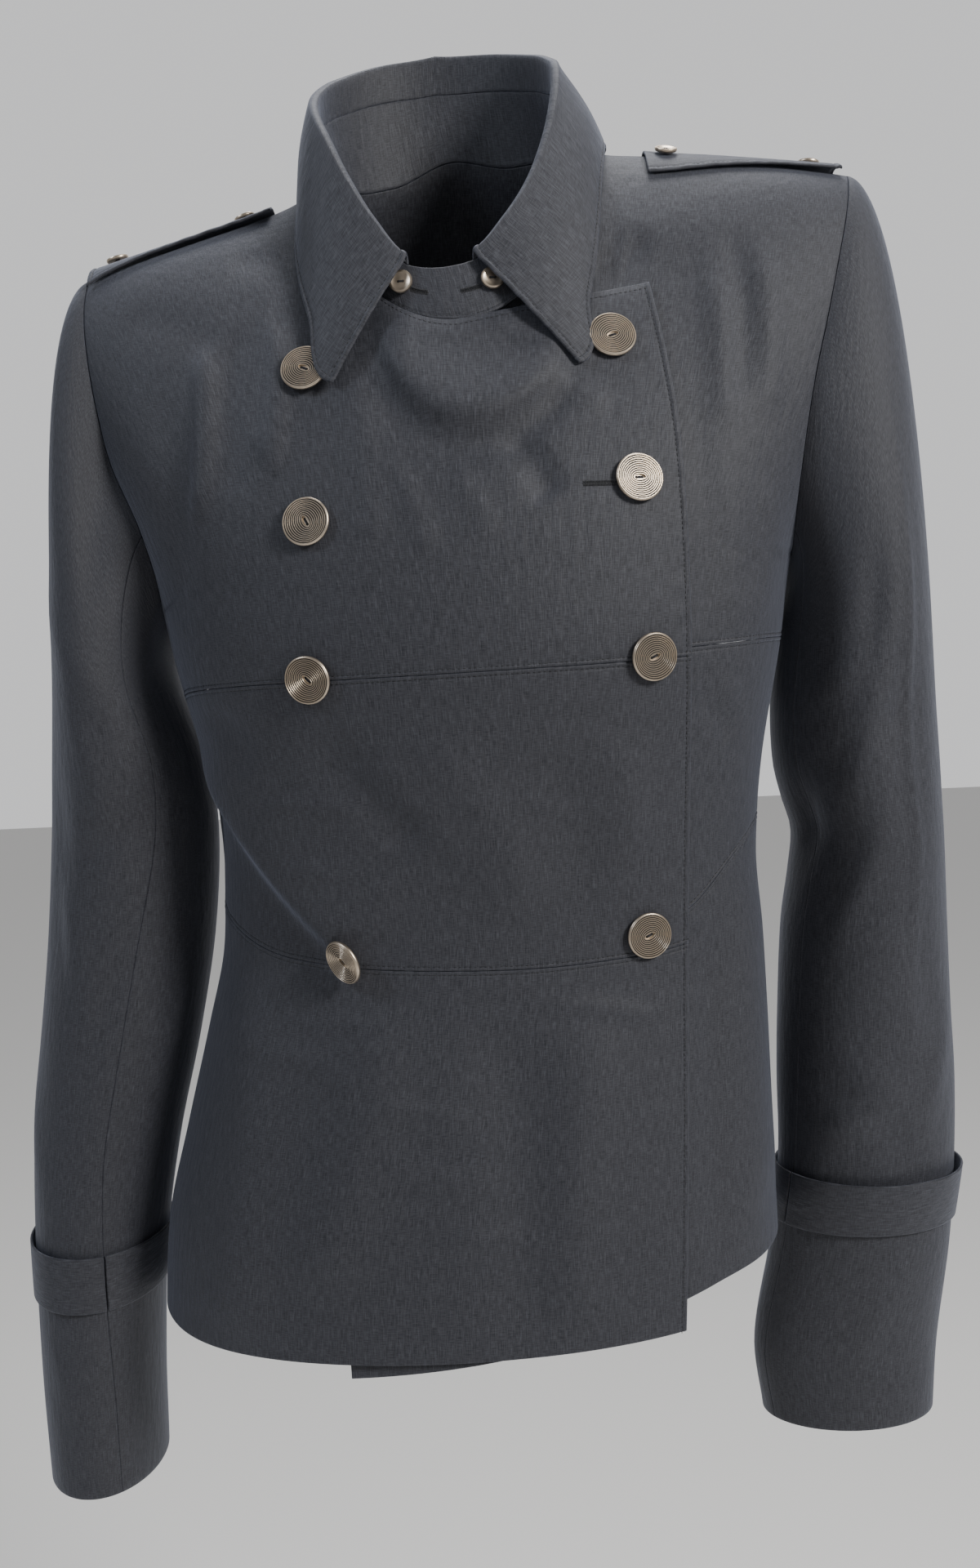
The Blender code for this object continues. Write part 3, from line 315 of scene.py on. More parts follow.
# Creases of the fronts: start x, start z, end x, end z, bow, height, reach above, reach below
FRONT_CREASES = (
    (-0.150, -0.300, -0.077, -0.395, -0.004, 0.0052, 0.030, 0.0045),
    (-0.157, -0.310, -0.086, -0.402, -0.004, -0.0034, 0.004, 0.0200),
    (-0.084, -0.288, -0.038, -0.338, 0.000, -0.0026, 0.011, 0.0110),
    (-0.060, -0.300, 0.006, -0.372, 0.004, 0.0020, 0.016, 0.0100),
    (-0.134, -0.092, -0.137, -0.170, 0.002, 0.0040, 0.006, 0.0055),
    (-0.096, -0.082, -0.0995, -0.150, 0.002, 0.0034, 0.006, 0.0060),
    (-0.116, -0.080, -0.118, -0.160, -0.003, -0.0016, 0.007, 0.0080),
    (-0.156, -0.110, -0.152, -0.220, 0.004, -0.0016, 0.009, 0.0090),
    (-0.062, -0.108, -0.052, -0.190, 0.004, 0.0014, 0.008, 0.0100),
    (-0.0430, -0.0930, 0.0400, -0.1120, -0.028, 0.0058, 0.026, 0.0065),
    (-0.0520, -0.1060, 0.0460, -0.1240, -0.030, -0.0022, 0.005, 0.0120),
    (0.019, -0.143, 0.036, -0.172, 0.002, -0.0032, 0.007, 0.0080),
    (-0.040, -0.152, -0.024, -0.196, 0.002, 0.0012, 0.005, 0.0060),
    (-0.010, -0.158, 0.004, -0.190, 0.002, 0.0010, 0.006, 0.0060),
    (0.040, -0.110, 0.064, -0.128, -0.002, 0.0014, 0.008, 0.0070),
    (-0.030, -0.290, 0.018, -0.370, 0.006, 0.0024, 0.012, 0.0120),
    (0.030, -0.300, 0.045, -0.385, 0.006, -0.0018, 0.012, 0.0150),
    (0.060, -0.290, 0.070, -0.350, 0.004, 0.0020, 0.012, 0.0120),
    (-0.140, -0.272, -0.122, -0.300, 0.004, -0.0016, 0.008, 0.0080),
    (-0.060, -0.430, -0.100, -0.560, 0.006, 0.0034, 0.018, 0.0180),
    (0.000, -0.430, 0.010, -0.590, 0.006, -0.0034, 0.020, 0.0200),
    (0.052, -0.440, 0.030, -0.580, -0.005, 0.0030, 0.016, 0.0180),
    (-0.128, -0.420, -0.148, -0.590, 0.005, 0.0032, 0.016, 0.0160),
    (-0.066, -0.475, -0.020, -0.482, 0.003, 0.0013, 0.004, 0.0050),
    (-0.060, -0.500, -0.010, -0.512, -0.003, 0.0013, 0.005, 0.0050),
    (-0.030, -0.540, 0.024, -0.548, 0.003, 0.0013, 0.005, 0.0060),
    (-0.110, -0.318, -0.064, -0.324, 0.003, 0.0011, 0.004, 0.0050),
    (0.020, -0.322, 0.074, -0.330, -0.003, 0.0011, 0.004, 0.0050),
    (-0.100, -0.352, -0.050, -0.366, 0.003, 0.0012, 0.005, 0.0050),
    (-0.120, -0.450, -0.076, -0.462, 0.003, 0.0012, 0.005, 0.0050),
    (0.030, -0.428, 0.078, -0.436, 0.003, 0.0011, 0.004, 0.0050),
    (0.122, -0.060, 0.124, -0.135, 0.003, 0.0020, 0.007, 0.0080),
    (0.104, -0.022, 0.108, -0.062, 0.002, 0.0014, 0.005, 0.0050),
    (0.137, -0.040, 0.134, -0.120, 0.003, -0.0020, 0.007, 0.0080),
    (0.150, -0.050, 0.149, -0.130, 0.003, 0.0018, 0.007, 0.0070),
    (0.112, -0.125, 0.126, -0.235, 0.004, 0.0014, 0.009, 0.0090),
    (0.092, -0.040, 0.064, -0.060, 0.002, -0.0022, 0.006, 0.0060),
    (0.150, -0.170, 0.140, -0.235, 0.003, 0.0014, 0.008, 0.0090),
    (0.109, -0.256, 0.128, -0.274, 0.002, 0.0016, 0.004, 0.0050),
    (0.107, -0.272, 0.124, -0.296, 0.002, -0.0014, 0.005, 0.0050),
    (0.108, -0.286, 0.118, -0.312, 0.002, 0.0010, 0.005, 0.0050),
    (0.132, -0.380, 0.138, -0.540, 0.003, 0.0022, 0.012, 0.0140),
    (0.116, -0.400, 0.112, -0.560, -0.003, -0.0014, 0.010, 0.0120),
    (-0.120, -0.040, -0.080, -0.050, 0.002, -0.0012, 0.008, 0.0090),
    (-0.175, -0.070, -0.130, -0.085, 0.003, -0.0012, 0.009, 0.0100),
)
# Creases of the back, in the same columns
BACK_CREASES = (
    (-0.150, -0.080, -0.140, -0.200, 0.004, 0.0022, 0.012, 0.0120),
    (-0.110, -0.100, -0.118, -0.225, -0.004, -0.0018, 0.013, 0.0130),
    (0.120, -0.070, 0.130, -0.190, -0.004, 0.0022, 0.012, 0.0140),
    (0.150, -0.120, 0.140, -0.220, 0.003, -0.0016, 0.010, 0.0100),
    (-0.060, -0.030, 0.050, -0.034, 0.010, -0.0020, 0.012, 0.0140),
    (-0.100, -0.352, -0.030, -0.392, 0.004, 0.0024, 0.010, 0.0120),
    (0.110, -0.330, 0.030, -0.388, -0.004, 0.0022, 0.010, 0.0120),
    (-0.120, -0.300, -0.050, -0.345, 0.003, -0.0020, 0.012, 0.0120),
    (0.020, -0.300, -0.010, -0.370, 0.004, 0.0016, 0.012, 0.0140),
    (-0.090, -0.430, -0.110, -0.580, 0.004, 0.0026, 0.018, 0.0200),
    (0.000, -0.440, 0.006, -0.590, 0.005, -0.0024, 0.020, 0.0200),
    (0.080, -0.430, 0.096, -0.570, -0.004, 0.0026, 0.018, 0.0190),
    (0.040, -0.060, 0.044, -0.170, 0.004, 0.0010, 0.014, 0.0140),
)


# Sewn borders: node, border, stitches' distance in from it, distances left off at the row's ends
EDGE_INSET = 0.0030
SEAM_INSET = 0.0020
sewn_borders = [
    ("right_front_upper", "last", EDGE_INSET, 0.0, EDGE_INSET),
    ("right_front_upper", "top", EDGE_INSET, 0.160, EDGE_INSET),
    ("right_front_middle", "last", EDGE_INSET, 0.0, 0.0),
    ("right_front_skirt", "last", EDGE_INSET, 0.0, 0.0),
]
for panel, end_off in (("right_front_", 0.001), ("left_front_", 0.001), ("back_", 0.0)):
    for tier, border in (("upper", "bottom"), ("middle", "top"), ("middle", "bottom"), ("skirt", "top")):
        sewn_borders.append((panel + tier, border, SEAM_INSET, 0.0, end_off))
sewn_borders += [
    ("collar_fall", "top", EDGE_INSET, EDGE_INSET, EDGE_INSET),
    ("collar_fall", "first", EDGE_INSET, 0.0, EDGE_INSET),
    ("collar_fall", "last", EDGE_INSET, 0.0, EDGE_INSET),
    ("collar_stand", "bottom", 0.0018, 0.0, 0.0),
]
for strap in ("right_shoulder_strap", "left_shoulder_strap"):
    for border in ("bottom", "top", "last"):
        sewn_borders.append((strap, border, EDGE_INSET, EDGE_INSET, EDGE_INSET))
# Relief beside a row of stitches: rolled ridge, ditch under the thread and its width, puckers
SEAM_RIDGE = 0.00025
SEAM_DITCH = 0.00034
DITCH_WIDTH = 0.0006
SEAM_PUCKER = 0.00018
PUCKER_REACH = 0.0055
# Rounded edge of the cloth, in cloth thicknesses: its pull inwards, then each bend's step in and depth
EDGE_DRAW_IN = 0.25
EDGE_BENDS = ((0.0, 0.13), (-0.14, 0.5), (0.0, 0.87))
# Distances from a border at which the cloth gets extra points
BORDER_PLACES = np.array((0.0010, 0.0015, 0.0020, 0.0025, 0.0031, 0.0038, 0.0052))


def read_table(rows, key):
    """Smooth values of every later column of a table where its first column is key."""
    table = np.asarray(rows, dtype=float)
    keys, values = table[:, 0], table[:, 1:]
    key = np.clip(np.asarray(key, dtype=float), keys[0], keys[-1])
    low = np.clip(np.searchsorted(keys, key, side="right") - 1, 0, len(keys) - 2)
    before, after = np.maximum(low - 1, 0), np.minimum(low + 2, len(keys) - 1)
    span = keys[low + 1] - keys[low]
    share = ((key - keys[low]) / span)[..., None]
    start, end = values[low], values[low + 1]
    start_slope = (end - values[before]) * (span / (keys[low + 1] - keys[before]))[..., None]
    end_slope = (values[after] - start) * (span / (keys[after] - keys[low]))[..., None]
    square, cube = share ** 2, share ** 3
    found = (start * (2 * cube - 3 * square + 1) + start_slope * (cube - 2 * square + share)
             + end * (3 * square - 2 * cube) + end_slope * (cube - square))
    return np.moveaxis(found, -1, 0)


def ease(value):
    """Smooth step from 0 at 0 to 1 at 1."""
    value = np.clip(value, 0.0, 1.0)
    return value * value * (3 - 2 * value)


def mix(first, second, share):
    return first + (second - first) * share


def unit(vectors):
    return vectors / np.maximum(np.linalg.norm(vectors, axis=-1, keepdims=True), 1e-12)


def shoulder_line(x):
    return read_table(SHOULDER_LINE, x)[0]


def body_point(across, climb, back):
    """Points of the body at shares across, -1 at the right side and 1 at the left."""
    across, climb = np.broadcast_arrays(np.asarray(across, float), np.asarray(climb, float))
    turn = across * math.pi / 2
    z = CLOSE_START + climb
    for _ in range(4):
        right, left, front_y, back_y = read_table(BODY_SECTIONS, z)
        x = (right + left) / 2 + (left - right) / 2 * np.sin(turn)
        reach = shoulder_line(x) - CLOSE_START
        rise = np.clip(climb / reach, 0.0, math.pi / 2)
        z = np.where(climb > 0, CLOSE_START + reach * np.sin(rise), CLOSE_START + climb)
        power = mix(NECK_CLOSE_POWER, PAD_CLOSE_POWER, ease((abs(x) - 0.080) / 0.100))
        closing = np.where(climb > 0, np.maximum(np.cos(rise), 0.0) ** (2 * power), 1.0)
    depth = (back_y if back else front_y) * np.maximum(np.cos(turn), 0.0) ** SECTION_POWER * closing
    return np.stack([x, depth + (HALF_SEAM if back else -HALF_SEAM), z], axis=-1)


def body_normal(across, climb, back):
    """Outward normals of the body, from points close by."""
    low, high = np.maximum(across - 0.004, -1.0), np.minimum(across + 0.004, 1.0)
    sideways = body_point(high, climb, back) - body_point(low, climb, back)
    upward = body_point(across, climb + 0.002, back) - body_point(across, climb - 0.002, back)
    return unit(np.cross(sideways, upward)) * (-1 if back else 1)


def body_place(x, z):
    """Share across and climb of the body points seen from the front at (x, z)."""
    x, z = np.broadcast_arrays(np.asarray(x, float), np.asarray(z, float))
    right, left = read_table(BODY_SECTIONS, z)[:2]
    sine = np.clip((x - (right + left) / 2) / ((left - right) / 2), -1.0, 1.0)
    reach = shoulder_line(x) - CLOSE_START
    climb = z - CLOSE_START
    climb = np.where(climb > 0, reach * np.arcsin(np.clip(climb / reach, 0.0, 1.0)), climb)
    return np.arcsin(sine) / (math.pi / 2), climb


def crease_lift(creases, x, z):
    """Height that the creases add where the body is seen at (x, z)."""
    total = np.zeros(np.broadcast(x, z).shape)
    for start_x, start_z, end_x, end_z, bow, height, above, below in creases:
        along_x, along_z = end_x - start_x, end_z - start_z
        length = math.hypot(along_x, along_z)
        share = ((x - start_x) * along_x + (z - start_z) * along_z) / length ** 2
        aside = ((x - start_x) * -along_z + (z - start_z) * along_x) / length
        aside = aside - bow * 4 * share * (1 - share)
        window = ease((share + 0.12) / 0.30) * ease((1.12 - share) / 0.22)
        total = total + height * window * np.exp(-(aside / np.where(aside > 0, above, below)) ** 2)
    return total


def body_face(places, kind):
    """Points of the cloth's outer face on the body: kind is over, under or back."""
    across, climb = places[..., 0], places[..., 1]
    back = kind == "back"
    base = body_point(across, climb, back)
    x, z = base[..., 0], base[..., 2]
    if back:
        lift = crease_lift(BACK_CREASES, x, z)
    else:
        lift = crease_lift(FRONT_CREASES, x, z)
    if kind == "under":
        beyond_lap = ease((x - FOLDS_START_X) / (FOLDS_FULL_X - FOLDS_START_X))
        lift = np.minimum(lift, 0.0) + np.maximum(lift, 0.0) * beyond_lap
        lapped = ease((LAP_CLEAR_X - x) / (LAP_CLEAR_X - LAP_UNDER_X))
        lift = lift - LAP_STEP * lapped * ease((LAP_TOP_Z - z) / (LAP_TOP_Z - LAP_FULL_Z))
    lift = lift * ease((1.0 - abs(across)) / 0.04)
    face = base + body_normal(across, climb, back) * lift[..., None]
    face[..., 1] = np.maximum(face[..., 1], HALF_SEAM) if back else np.minimum(face[..., 1], -HALF_SEAM)
    return face


def graded(steps, fine=FINE, step_size=0.015):
    """Places from 0 to steps, with closer ones beside both ends for the rolled, sewn edges."""
    near = BORDER_PLACES / step_size
    return np.unique(np.round(np.concatenate([np.linspace(0, steps, steps * fine + 1), near,
                                              steps - near]), 5))


def blend_sides(bottom, top, first, last, rows, columns):
    """Places inside four border lines, for shares up (rows) and along (columns)."""
    v, u = rows[:, None, None], columns[None, :, None]
    ruled = mix(bottom[None], top[None], v) + mix(first[:, None], last[:, None], u)
    corner = mix(mix(bottom[0], bottom[-1], u), mix(top[0], top[-1], u), v)
    return ruled - corner


def seam_height(across, which):
    """Height of the underbust seam (0) or the waist seam (1); 2 and 3 on the left front."""
    return read_table(SEAM_LINES, across)[which]


def shoulder_top(x, y):
    """Height of the body under places near the shoulder line."""
    x, y = np.broadcast_arrays(np.asarray(x, float), np.asarray(y, float))
    low, high = np.full(x.shape, -0.15), shoulder_line(x)
    for _ in range(30):
        middle = (low + high) / 2
        across, climb = body_place(x, middle)
        depth = np.where(y > 0, body_point(across, climb, True)[..., 1],
                         -body_point(across, climb, False)[..., 1])
        low, high = np.where(depth > abs(y), middle, low), np.where(depth > abs(y), high, middle)
    return low


def neck_seam(angle):
    """Across and height of the neck seam at angles from the front."""
    turn = np.radians(angle)
    x = NECK_MID_X + NECK_HALF_WIDTH * np.sin(turn)
    side_x = NECK_MID_X + np.where(np.sin(turn) < 0, -1.0, 1.0) * NECK_HALF_WIDTH
    front_z = mix(NECK_FRONT_Z, shoulder_line(side_x), np.minimum(1 - np.cos(turn), 1.0) ** NECK_POWER)
    back_z = shoulder_top(x, np.maximum(-NECK_BACK_DEPTH * np.cos(turn), 0.0005))
    return x, np.where(np.cos(turn) < -0.01, back_z, front_z)


def armhole_place(side, angle):
    """Across and height of an armhole at angles: 0 shoulder, 90 front, 180 armpit."""
    share = (1 - np.cos(np.radians(angle))) / 2
    column = 1 if side > 0 else 0
    tip_z = shoulder_line(ARMHOLE[0][1 + column])
    return read_table(ARMHOLE, share)[column], mix(tip_z, ARMPIT_Z[side], share)


def edge_place(side, angle):
    """Armhole places as share across and climb, held at the side seam under the arm."""
    across, climb = body_place(*armhole_place(side, angle))
    return np.stack([np.where(angle >= 180.0 - 1e-6, float(side), across), climb], axis=-1)


def upper_side(side, rows):
    """Side border of an upper panel: one step of side seam, then twelve of armhole."""
    seam_climb = seam_height(side, 0) - CLOSE_START + HALF_SEAM
    low = np.stack([np.full(rows.shape, float(side)),
                    mix(seam_climb, ARMPIT_Z[side] - CLOSE_START, rows)], axis=-1)
    return np.where(rows[:, None] < 1.0, low, edge_place(side, 180.0 - (rows - 1) * 15.0))


def upper_rows():
    """Rows of an upper panel, even in height: the side seam up to 1, then the armhole up to 13."""
    side_seam = np.concatenate([np.linspace(0, 1, 13), BORDER_PLACES / SIDE_SEAM_HEIGHT])
    climb = np.concatenate([[0.0], np.linspace(0.03, 1, 59), 1 - BORDER_PLACES / ARMHOLE_HEIGHT])
    armhole = 1 + np.degrees(np.arccos(1 - 2 * climb)) / 15
    return np.unique(np.round(np.concatenate([side_seam, armhole]), 5))


def side_progress(*sides):
    """Share of their height that the side borders have climbed at each row."""
    return sum((side[:, 1] - side[0, 1]) / (side[-1, 1] - side[0, 1]) for side in sides) / len(sides)


def edge_share(table, height):
    """Share across of a front edge at heights."""
    return body_place(read_table(table, height)[0], height)[0]


def upper_front(side, edge_table, corner):
    """Places of an upper front: five steps of shoulder, six of neck seam, five of free edge."""
    rows, columns = upper_rows(), graded(16)
    seam_side = upper_side(side, rows)
    progress = side_progress(seam_side)
    tip_x, neck_x = armhole_place(side, 0.0)[0], NECK_MID_X + side * NECK_HALF_WIDTH
    shoulder_x = mix(tip_x, neck_x, np.minimum(columns / 5, 1.0))
    neck_x, neck_z = neck_seam(-side * np.clip(-90 + (columns - 5) * 15.0, -90, 0))
    free = np.clip((columns - 11) / 5, 0.0, 1.0)
    start_x, start_z = neck_seam(0.0)
    x = np.where(columns < 5, shoulder_x, np.where(columns < 11, neck_x, mix(start_x, corner[0], free)))
    z = np.where(columns < 5, shoulder_line(shoulder_x),
                 np.where(columns < 11, neck_z, mix(start_z, corner[1], free)))
    top = np.stack(body_place(x, z), axis=-1)
    last_across = edge_share(edge_table, seam_height(edge_share(edge_table, -0.252), 0))
    across = mix(float(side), last_across, columns / 16)
    seam_column = 2 if side > 0 else 0
    bottom = np.stack([across, seam_height(across, seam_column) - CLOSE_START + HALF_SEAM], axis=-1)
    height = mix(seam_height(last_across, seam_column), corner[1], progress)
    last = np.stack(body_place(read_table(edge_table, height)[0], height), axis=-1)
    last[0], last[-1] = bottom[-1], top[-1]
    return blend_sides(bottom, top, seam_side, last, progress, columns / 16)


def upper_back():
    """Places of the upper back: four steps of shoulder, twelve of neck seam, four of shoulder."""
    rows, columns = upper_rows(), graded(20)
    seam_sides = [upper_side(side, rows) for side in (-1, 1)]
    side_tips = [armhole_place(side, 0.0)[0] for side in (-1, 1)]
    right_x = mix(side_tips[0], NECK_MID_X - NECK_HALF_WIDTH, np.minimum(columns / 4, 1.0))
    left_x = mix(side_tips[1], NECK_MID_X + NECK_HALF_WIDTH, np.clip((20 - columns) / 4, 0.0, 1.0))
    neck_x, neck_z = neck_seam(-90.0 - np.clip(columns - 4, 0, 12) * 15.0)
    x = np.where(columns < 4, right_x, np.where(columns > 16, left_x, neck_x))
    z = np.where((columns >= 4) & (columns <= 16), neck_z, shoulder_line(x))
    top = np.stack(body_place(x, z), axis=-1)
    across = mix(-1.0, 1.0, columns / 20)
    bottom = np.stack([across, seam_height(across, 0) - CLOSE_START + HALF_SEAM], axis=-1)
    return blend_sides(bottom, top, *seam_sides, side_progress(*seam_sides), columns / 20)


def lower_panel(start, end, tier, hem_column, rows, columns, seam_column=0):
    """Places of a panel between two seams; start and end give the share across by height."""
    v, u = (rows / rows[-1])[:, None], (columns / columns[-1])[None, :]
    height = np.full((len(rows), len(columns)), -0.40)
    for _ in range(4):
        across = mix(start(height), end(height), u)
        if tier == "middle":
            low = seam_height(across, seam_column + 1) + HALF_SEAM
            high = seam_height(across, seam_column) - HALF_SEAM
        else:
            low = read_table(HEM_LINES, across)[hem_column]
            high = seam_height(across, seam_column + 1) - HALF_SEAM
        height = mix(low, high, v)
    return np.stack(np.broadcast_arrays(across, height - CLOSE_START), axis=-1)


def grid_normals(points, outward):
    """Normals of a grid of points."""
    up, along = np.gradient(points, axis=0), np.gradient(points, axis=1)
    return unit(np.cross(along, up)) * outward


def finish_piece(name, mesh, materials, nodes):
    """Object of a finished mesh that stands for its nodes and rides on the jacket's only body."""
    for material in materials:
        mesh.materials.append(material)
    mesh.validate()
    piece = bpy.data.objects.new(name, mesh)
    bpy.context.scene.collection.objects.link(piece)
    if nodes:
        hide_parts(*nodes)
    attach(piece, "root")
    return piece


sewn_faces = {}


def seam_relief(face, border, inset):
    """Height beside a sewn border: a rolled ridge, a ditch under the stitches, small puckers."""
    grid = face.swapaxes(0, 1) if border in ("first", "last") else face
    grid = grid[::-1] if border in ("top", "last") else grid
    apart = np.cumsum(np.linalg.norm(np.diff(grid, axis=0, prepend=grid[:1]), axis=-1), axis=0)
    run = np.cumsum(np.linalg.norm(np.diff(grid[0], axis=0, prepend=grid[0][:1]), axis=-1))
    pucker = (np.sin(run / 0.0017 + 1.8 * np.sin(run / 0.011)) * (0.6 + 0.4 * np.sin(run / 0.023)))[None]
    relief = (SEAM_RIDGE * np.exp(-((apart - 0.5 * inset) / (0.4 * inset)) ** 2)
              - SEAM_DITCH * np.exp(-((apart - inset) / DITCH_WIDTH) ** 2)
              + SEAM_PUCKER * pucker * np.exp(-((apart - inset) / PUCKER_REACH) ** 2))
    relief = relief * ease(apart / 0.0012)
    relief = relief[::-1] if border in ("top", "last") else relief
    return relief.swapaxes(0, 1) if border in ("first", "last") else relief


def cloth_wall(node, face, grain, outward, keep_side=0):
    """Closed wall of cloth: an outer face, the same face moved in, and a rounded edge.

    keep_side holds the wall behind (1) or in front of (-1) the shoulder and side seams.
    """
    rows, columns = face.shape[:2]
    normals = grid_normals(face, outward)
    for sewn_node, border, inset, *_ in sewn_borders:
        if sewn_node == node:
            face = face + normals * seam_relief(face, border, inset)[..., None]
    normals = grid_normals(face, outward)
    inner = face - normals * CLOTH
    ring = [(0, j, 1, min(max(j, 1), columns - 2)) for j in range(columns)]
    ring += [(i, columns - 1, min(max(i, 1), rows - 2), columns - 2) for i in range(1, rows)]
    ring += [(rows - 1, j, rows - 2, min(max(j, 1), columns - 2)) for j in range(columns - 2, -1, -1)]
    ring += [(i, 0, min(max(i, 1), rows - 2), 1) for i in range(rows - 2, 0, -1)]
    edge = np.array(ring)
    edge_points, edge_normals = face[edge[:, 0], edge[:, 1]], normals[edge[:, 0], edge[:, 1]]
    inward = face[edge[:, 2], edge[:, 3]] - edge_points
    inward = unit(inward - edge_normals * np.sum(inward * edge_normals, axis=1, keepdims=True))
    sewn_faces[node] = (face.copy(), normals)
    face, inner = face.copy(), inner.copy()
    face[edge[:, 0], edge[:, 1]] += inward * CLOTH * EDGE_DRAW_IN
    inner[edge[:, 0], edge[:, 1]] += inward * CLOTH * EDGE_DRAW_IN
    bends = [edge_points + inward * CLOTH * side_step - edge_normals * CLOTH * depth_step
             for side_step, depth_step in EDGE_BENDS]
    points = np.concatenate([face.reshape(-1, 3), inner.reshape(-1, 3)] + bends)
    if keep_side:
        points[:, 1] = keep_side * np.maximum(points[:, 1] * keep_side, 0.0)
    count, around = rows * columns, len(ring)
    index = np.arange(count).reshape(rows, columns)
    outer_faces = np.stack([index[:-1, :-1], index[:-1, 1:], index[1:, 1:], index[1:, :-1]], axis=-1)
    inner_faces = outer_faces[..., ::-1] + count
    strips = [index[edge[:, 0], edge[:, 1]]]
    strips += [2 * count + k * around + np.arange(around) for k in range(3)]
    strips.append(strips[0] + count)
    quads = [outer_faces.reshape(-1, 4), inner_faces.reshape(-1, 4)]
    for upper, lower in zip(strips[:-1], strips[1:]):
        quads.append(np.stack([upper, lower, np.roll(lower, -1), np.roll(upper, -1)], axis=-1))
    quads = np.concatenate(quads)
    if outward < 0:
        quads = quads[:, ::-1]
    mesh = bpy.data.meshes.new(node + "_cloth")
    mesh.from_pydata(points.tolist(), [], quads.tolist())
    mesh.shade_smooth()
    flat_grain = grain.reshape(-1, 2)
    edge_grain = grain[edge[:, 0], edge[:, 1]]
    all_grain = np.concatenate([flat_grain, flat_grain, edge_grain, edge_grain, edge_grain])
    corners = np.empty(len(mesh.loops), dtype=np.int32)
    mesh.loops.foreach_get("vertex_index", corners)
    layer = mesh.uv_layers.new(name="grain")
    layer.data.foreach_set("uv", all_grain[corners].astype(np.float32).ravel())
    piece = finish_piece(node + "_cloth", mesh, [cloth], [node])
    return piece


def body_panel(node, places, kind):
    grain = np.stack([places[..., 0] * 0.25 + (1.0 if kind == "back" else 0.0), places[..., 1]], axis=-1)
    outward = 1 if kind == "over" else -1
    cloth_wall(node, body_face(places, kind), grain, outward,
               keep_side=1 if kind == "back" else -1)


body_panel("right_front_upper", upper_front(-1, FRONT_EDGE, FRONT_CORNER), "over")
body_panel("left_front_upper", upper_front(1, UNDER_EDGE, UNDER_CORNER), "under")
body_panel("back_upper", upper_back(), "back")
for tier, tier_rows in (("middle", graded(6, 7, 0.023)), ("skirt", graded(7, 10, 0.029))):
    body_panel("right_front_" + tier,
               lower_panel(lambda height: -1.0, lambda height: edge_share(FRONT_EDGE, height),
                           tier, 0, tier_rows, graded(16)), "over")
    body_panel("left_front_" + tier,
               lower_panel(lambda height: 1.0, lambda height: edge_share(UNDER_EDGE, height),
                           tier, 1, tier_rows, graded(16), 2), "under")
    body_panel("back_" + tier,
               lower_panel(lambda height: -1.0, lambda height: 1.0, tier, 2, tier_rows, graded(20)),
               "back")


# Sleeves: two-piece sleeves set in over shoulder pads, a top sleeve and an under sleeve joined
# by a front seam and a back seam, hanging with soft folds at the elbows and above the cuffs.
# Sleeves: height, outer x, inner x, mid y, half depth, front seam angle, back seam angle
RIGHT_SLEEVE = (
    (-0.705, -0.2695, -0.2050, 0.004, 0.0500, 120.0, 238.0),
    (-0.650, -0.2710, -0.2035, 0.006, 0.0510, 118.0, 238.0),
    (-0.580, -0.2710, -0.1985, 0.010, 0.0535, 110.0, 238.0),
    (-0.520, -0.2690, -0.1880, 0.014, 0.0540, 103.0, 238.0),
    (-0.460, -0.2625, -0.1730, 0.018, 0.0545, 103.0, 238.0),
    (-0.400, -0.2545, -0.1610, 0.020, 0.0560, 107.0, 238.0),
    (-0.340, -0.2470, -0.1555, 0.017, 0.0600, 118.0, 239.0),
    (-0.300, -0.2420, -0.1595, 0.012, 0.0640, 124.0, 239.0),
    (-0.262, -0.2370, -0.1705, 0.008, 0.0660, 122.0, 240.0),
)
LEFT_SLEEVE = (
    (-0.702, 0.2470, 0.1470, 0.020, 0.0340, 156.0, 222.0),
    (-0.660, 0.2500, 0.1430, 0.020, 0.0345, 158.0, 222.0),
    (-0.600, 0.2580, 0.1540, 0.020, 0.0390, 157.0, 224.0),
    (-0.550, 0.2610, 0.1600, 0.020, 0.0430, 154.0, 226.0),
    (-0.500, 0.2615, 0.1605, 0.020, 0.0470, 150.0, 228.0),
    (-0.460, 0.2595, 0.1620, 0.020, 0.0500, 150.0, 230.0),
    (-0.410, 0.2570, 0.1650, 0.018, 0.0550, 150.0, 232.0),
    (-0.380, 0.2555, 0.1695, 0.016, 0.0570, 150.0, 233.0),
    (-0.357, 0.2540, 0.1715, 0.014, 0.0590, 150.0, 234.0),
    (-0.338, 0.2525, 0.1660, 0.012, 0.0610, 150.0, 235.0),
    (-0.318, 0.2510, 0.1615, 0.010, 0.0630, 150.0, 236.0),
    (-0.285, 0.2485, 0.1605, 0.008, 0.0645, 150.0, 238.0),
    (-0.245, 0.2460, 0.1640, 0.006, 0.0660, 150.0, 240.0),
)
SLEEVES = {-1: RIGHT_SLEEVE, 1: LEFT_SLEEVE}
# Angles of the front seam and the back seam where they leave the armhole
SEAM_START = {-1: 120.0, 1: 148.0}
BACK_SEAM_START = 240.0
HEAD_REACH = 0.055
HEAD_SWELL = 0.025
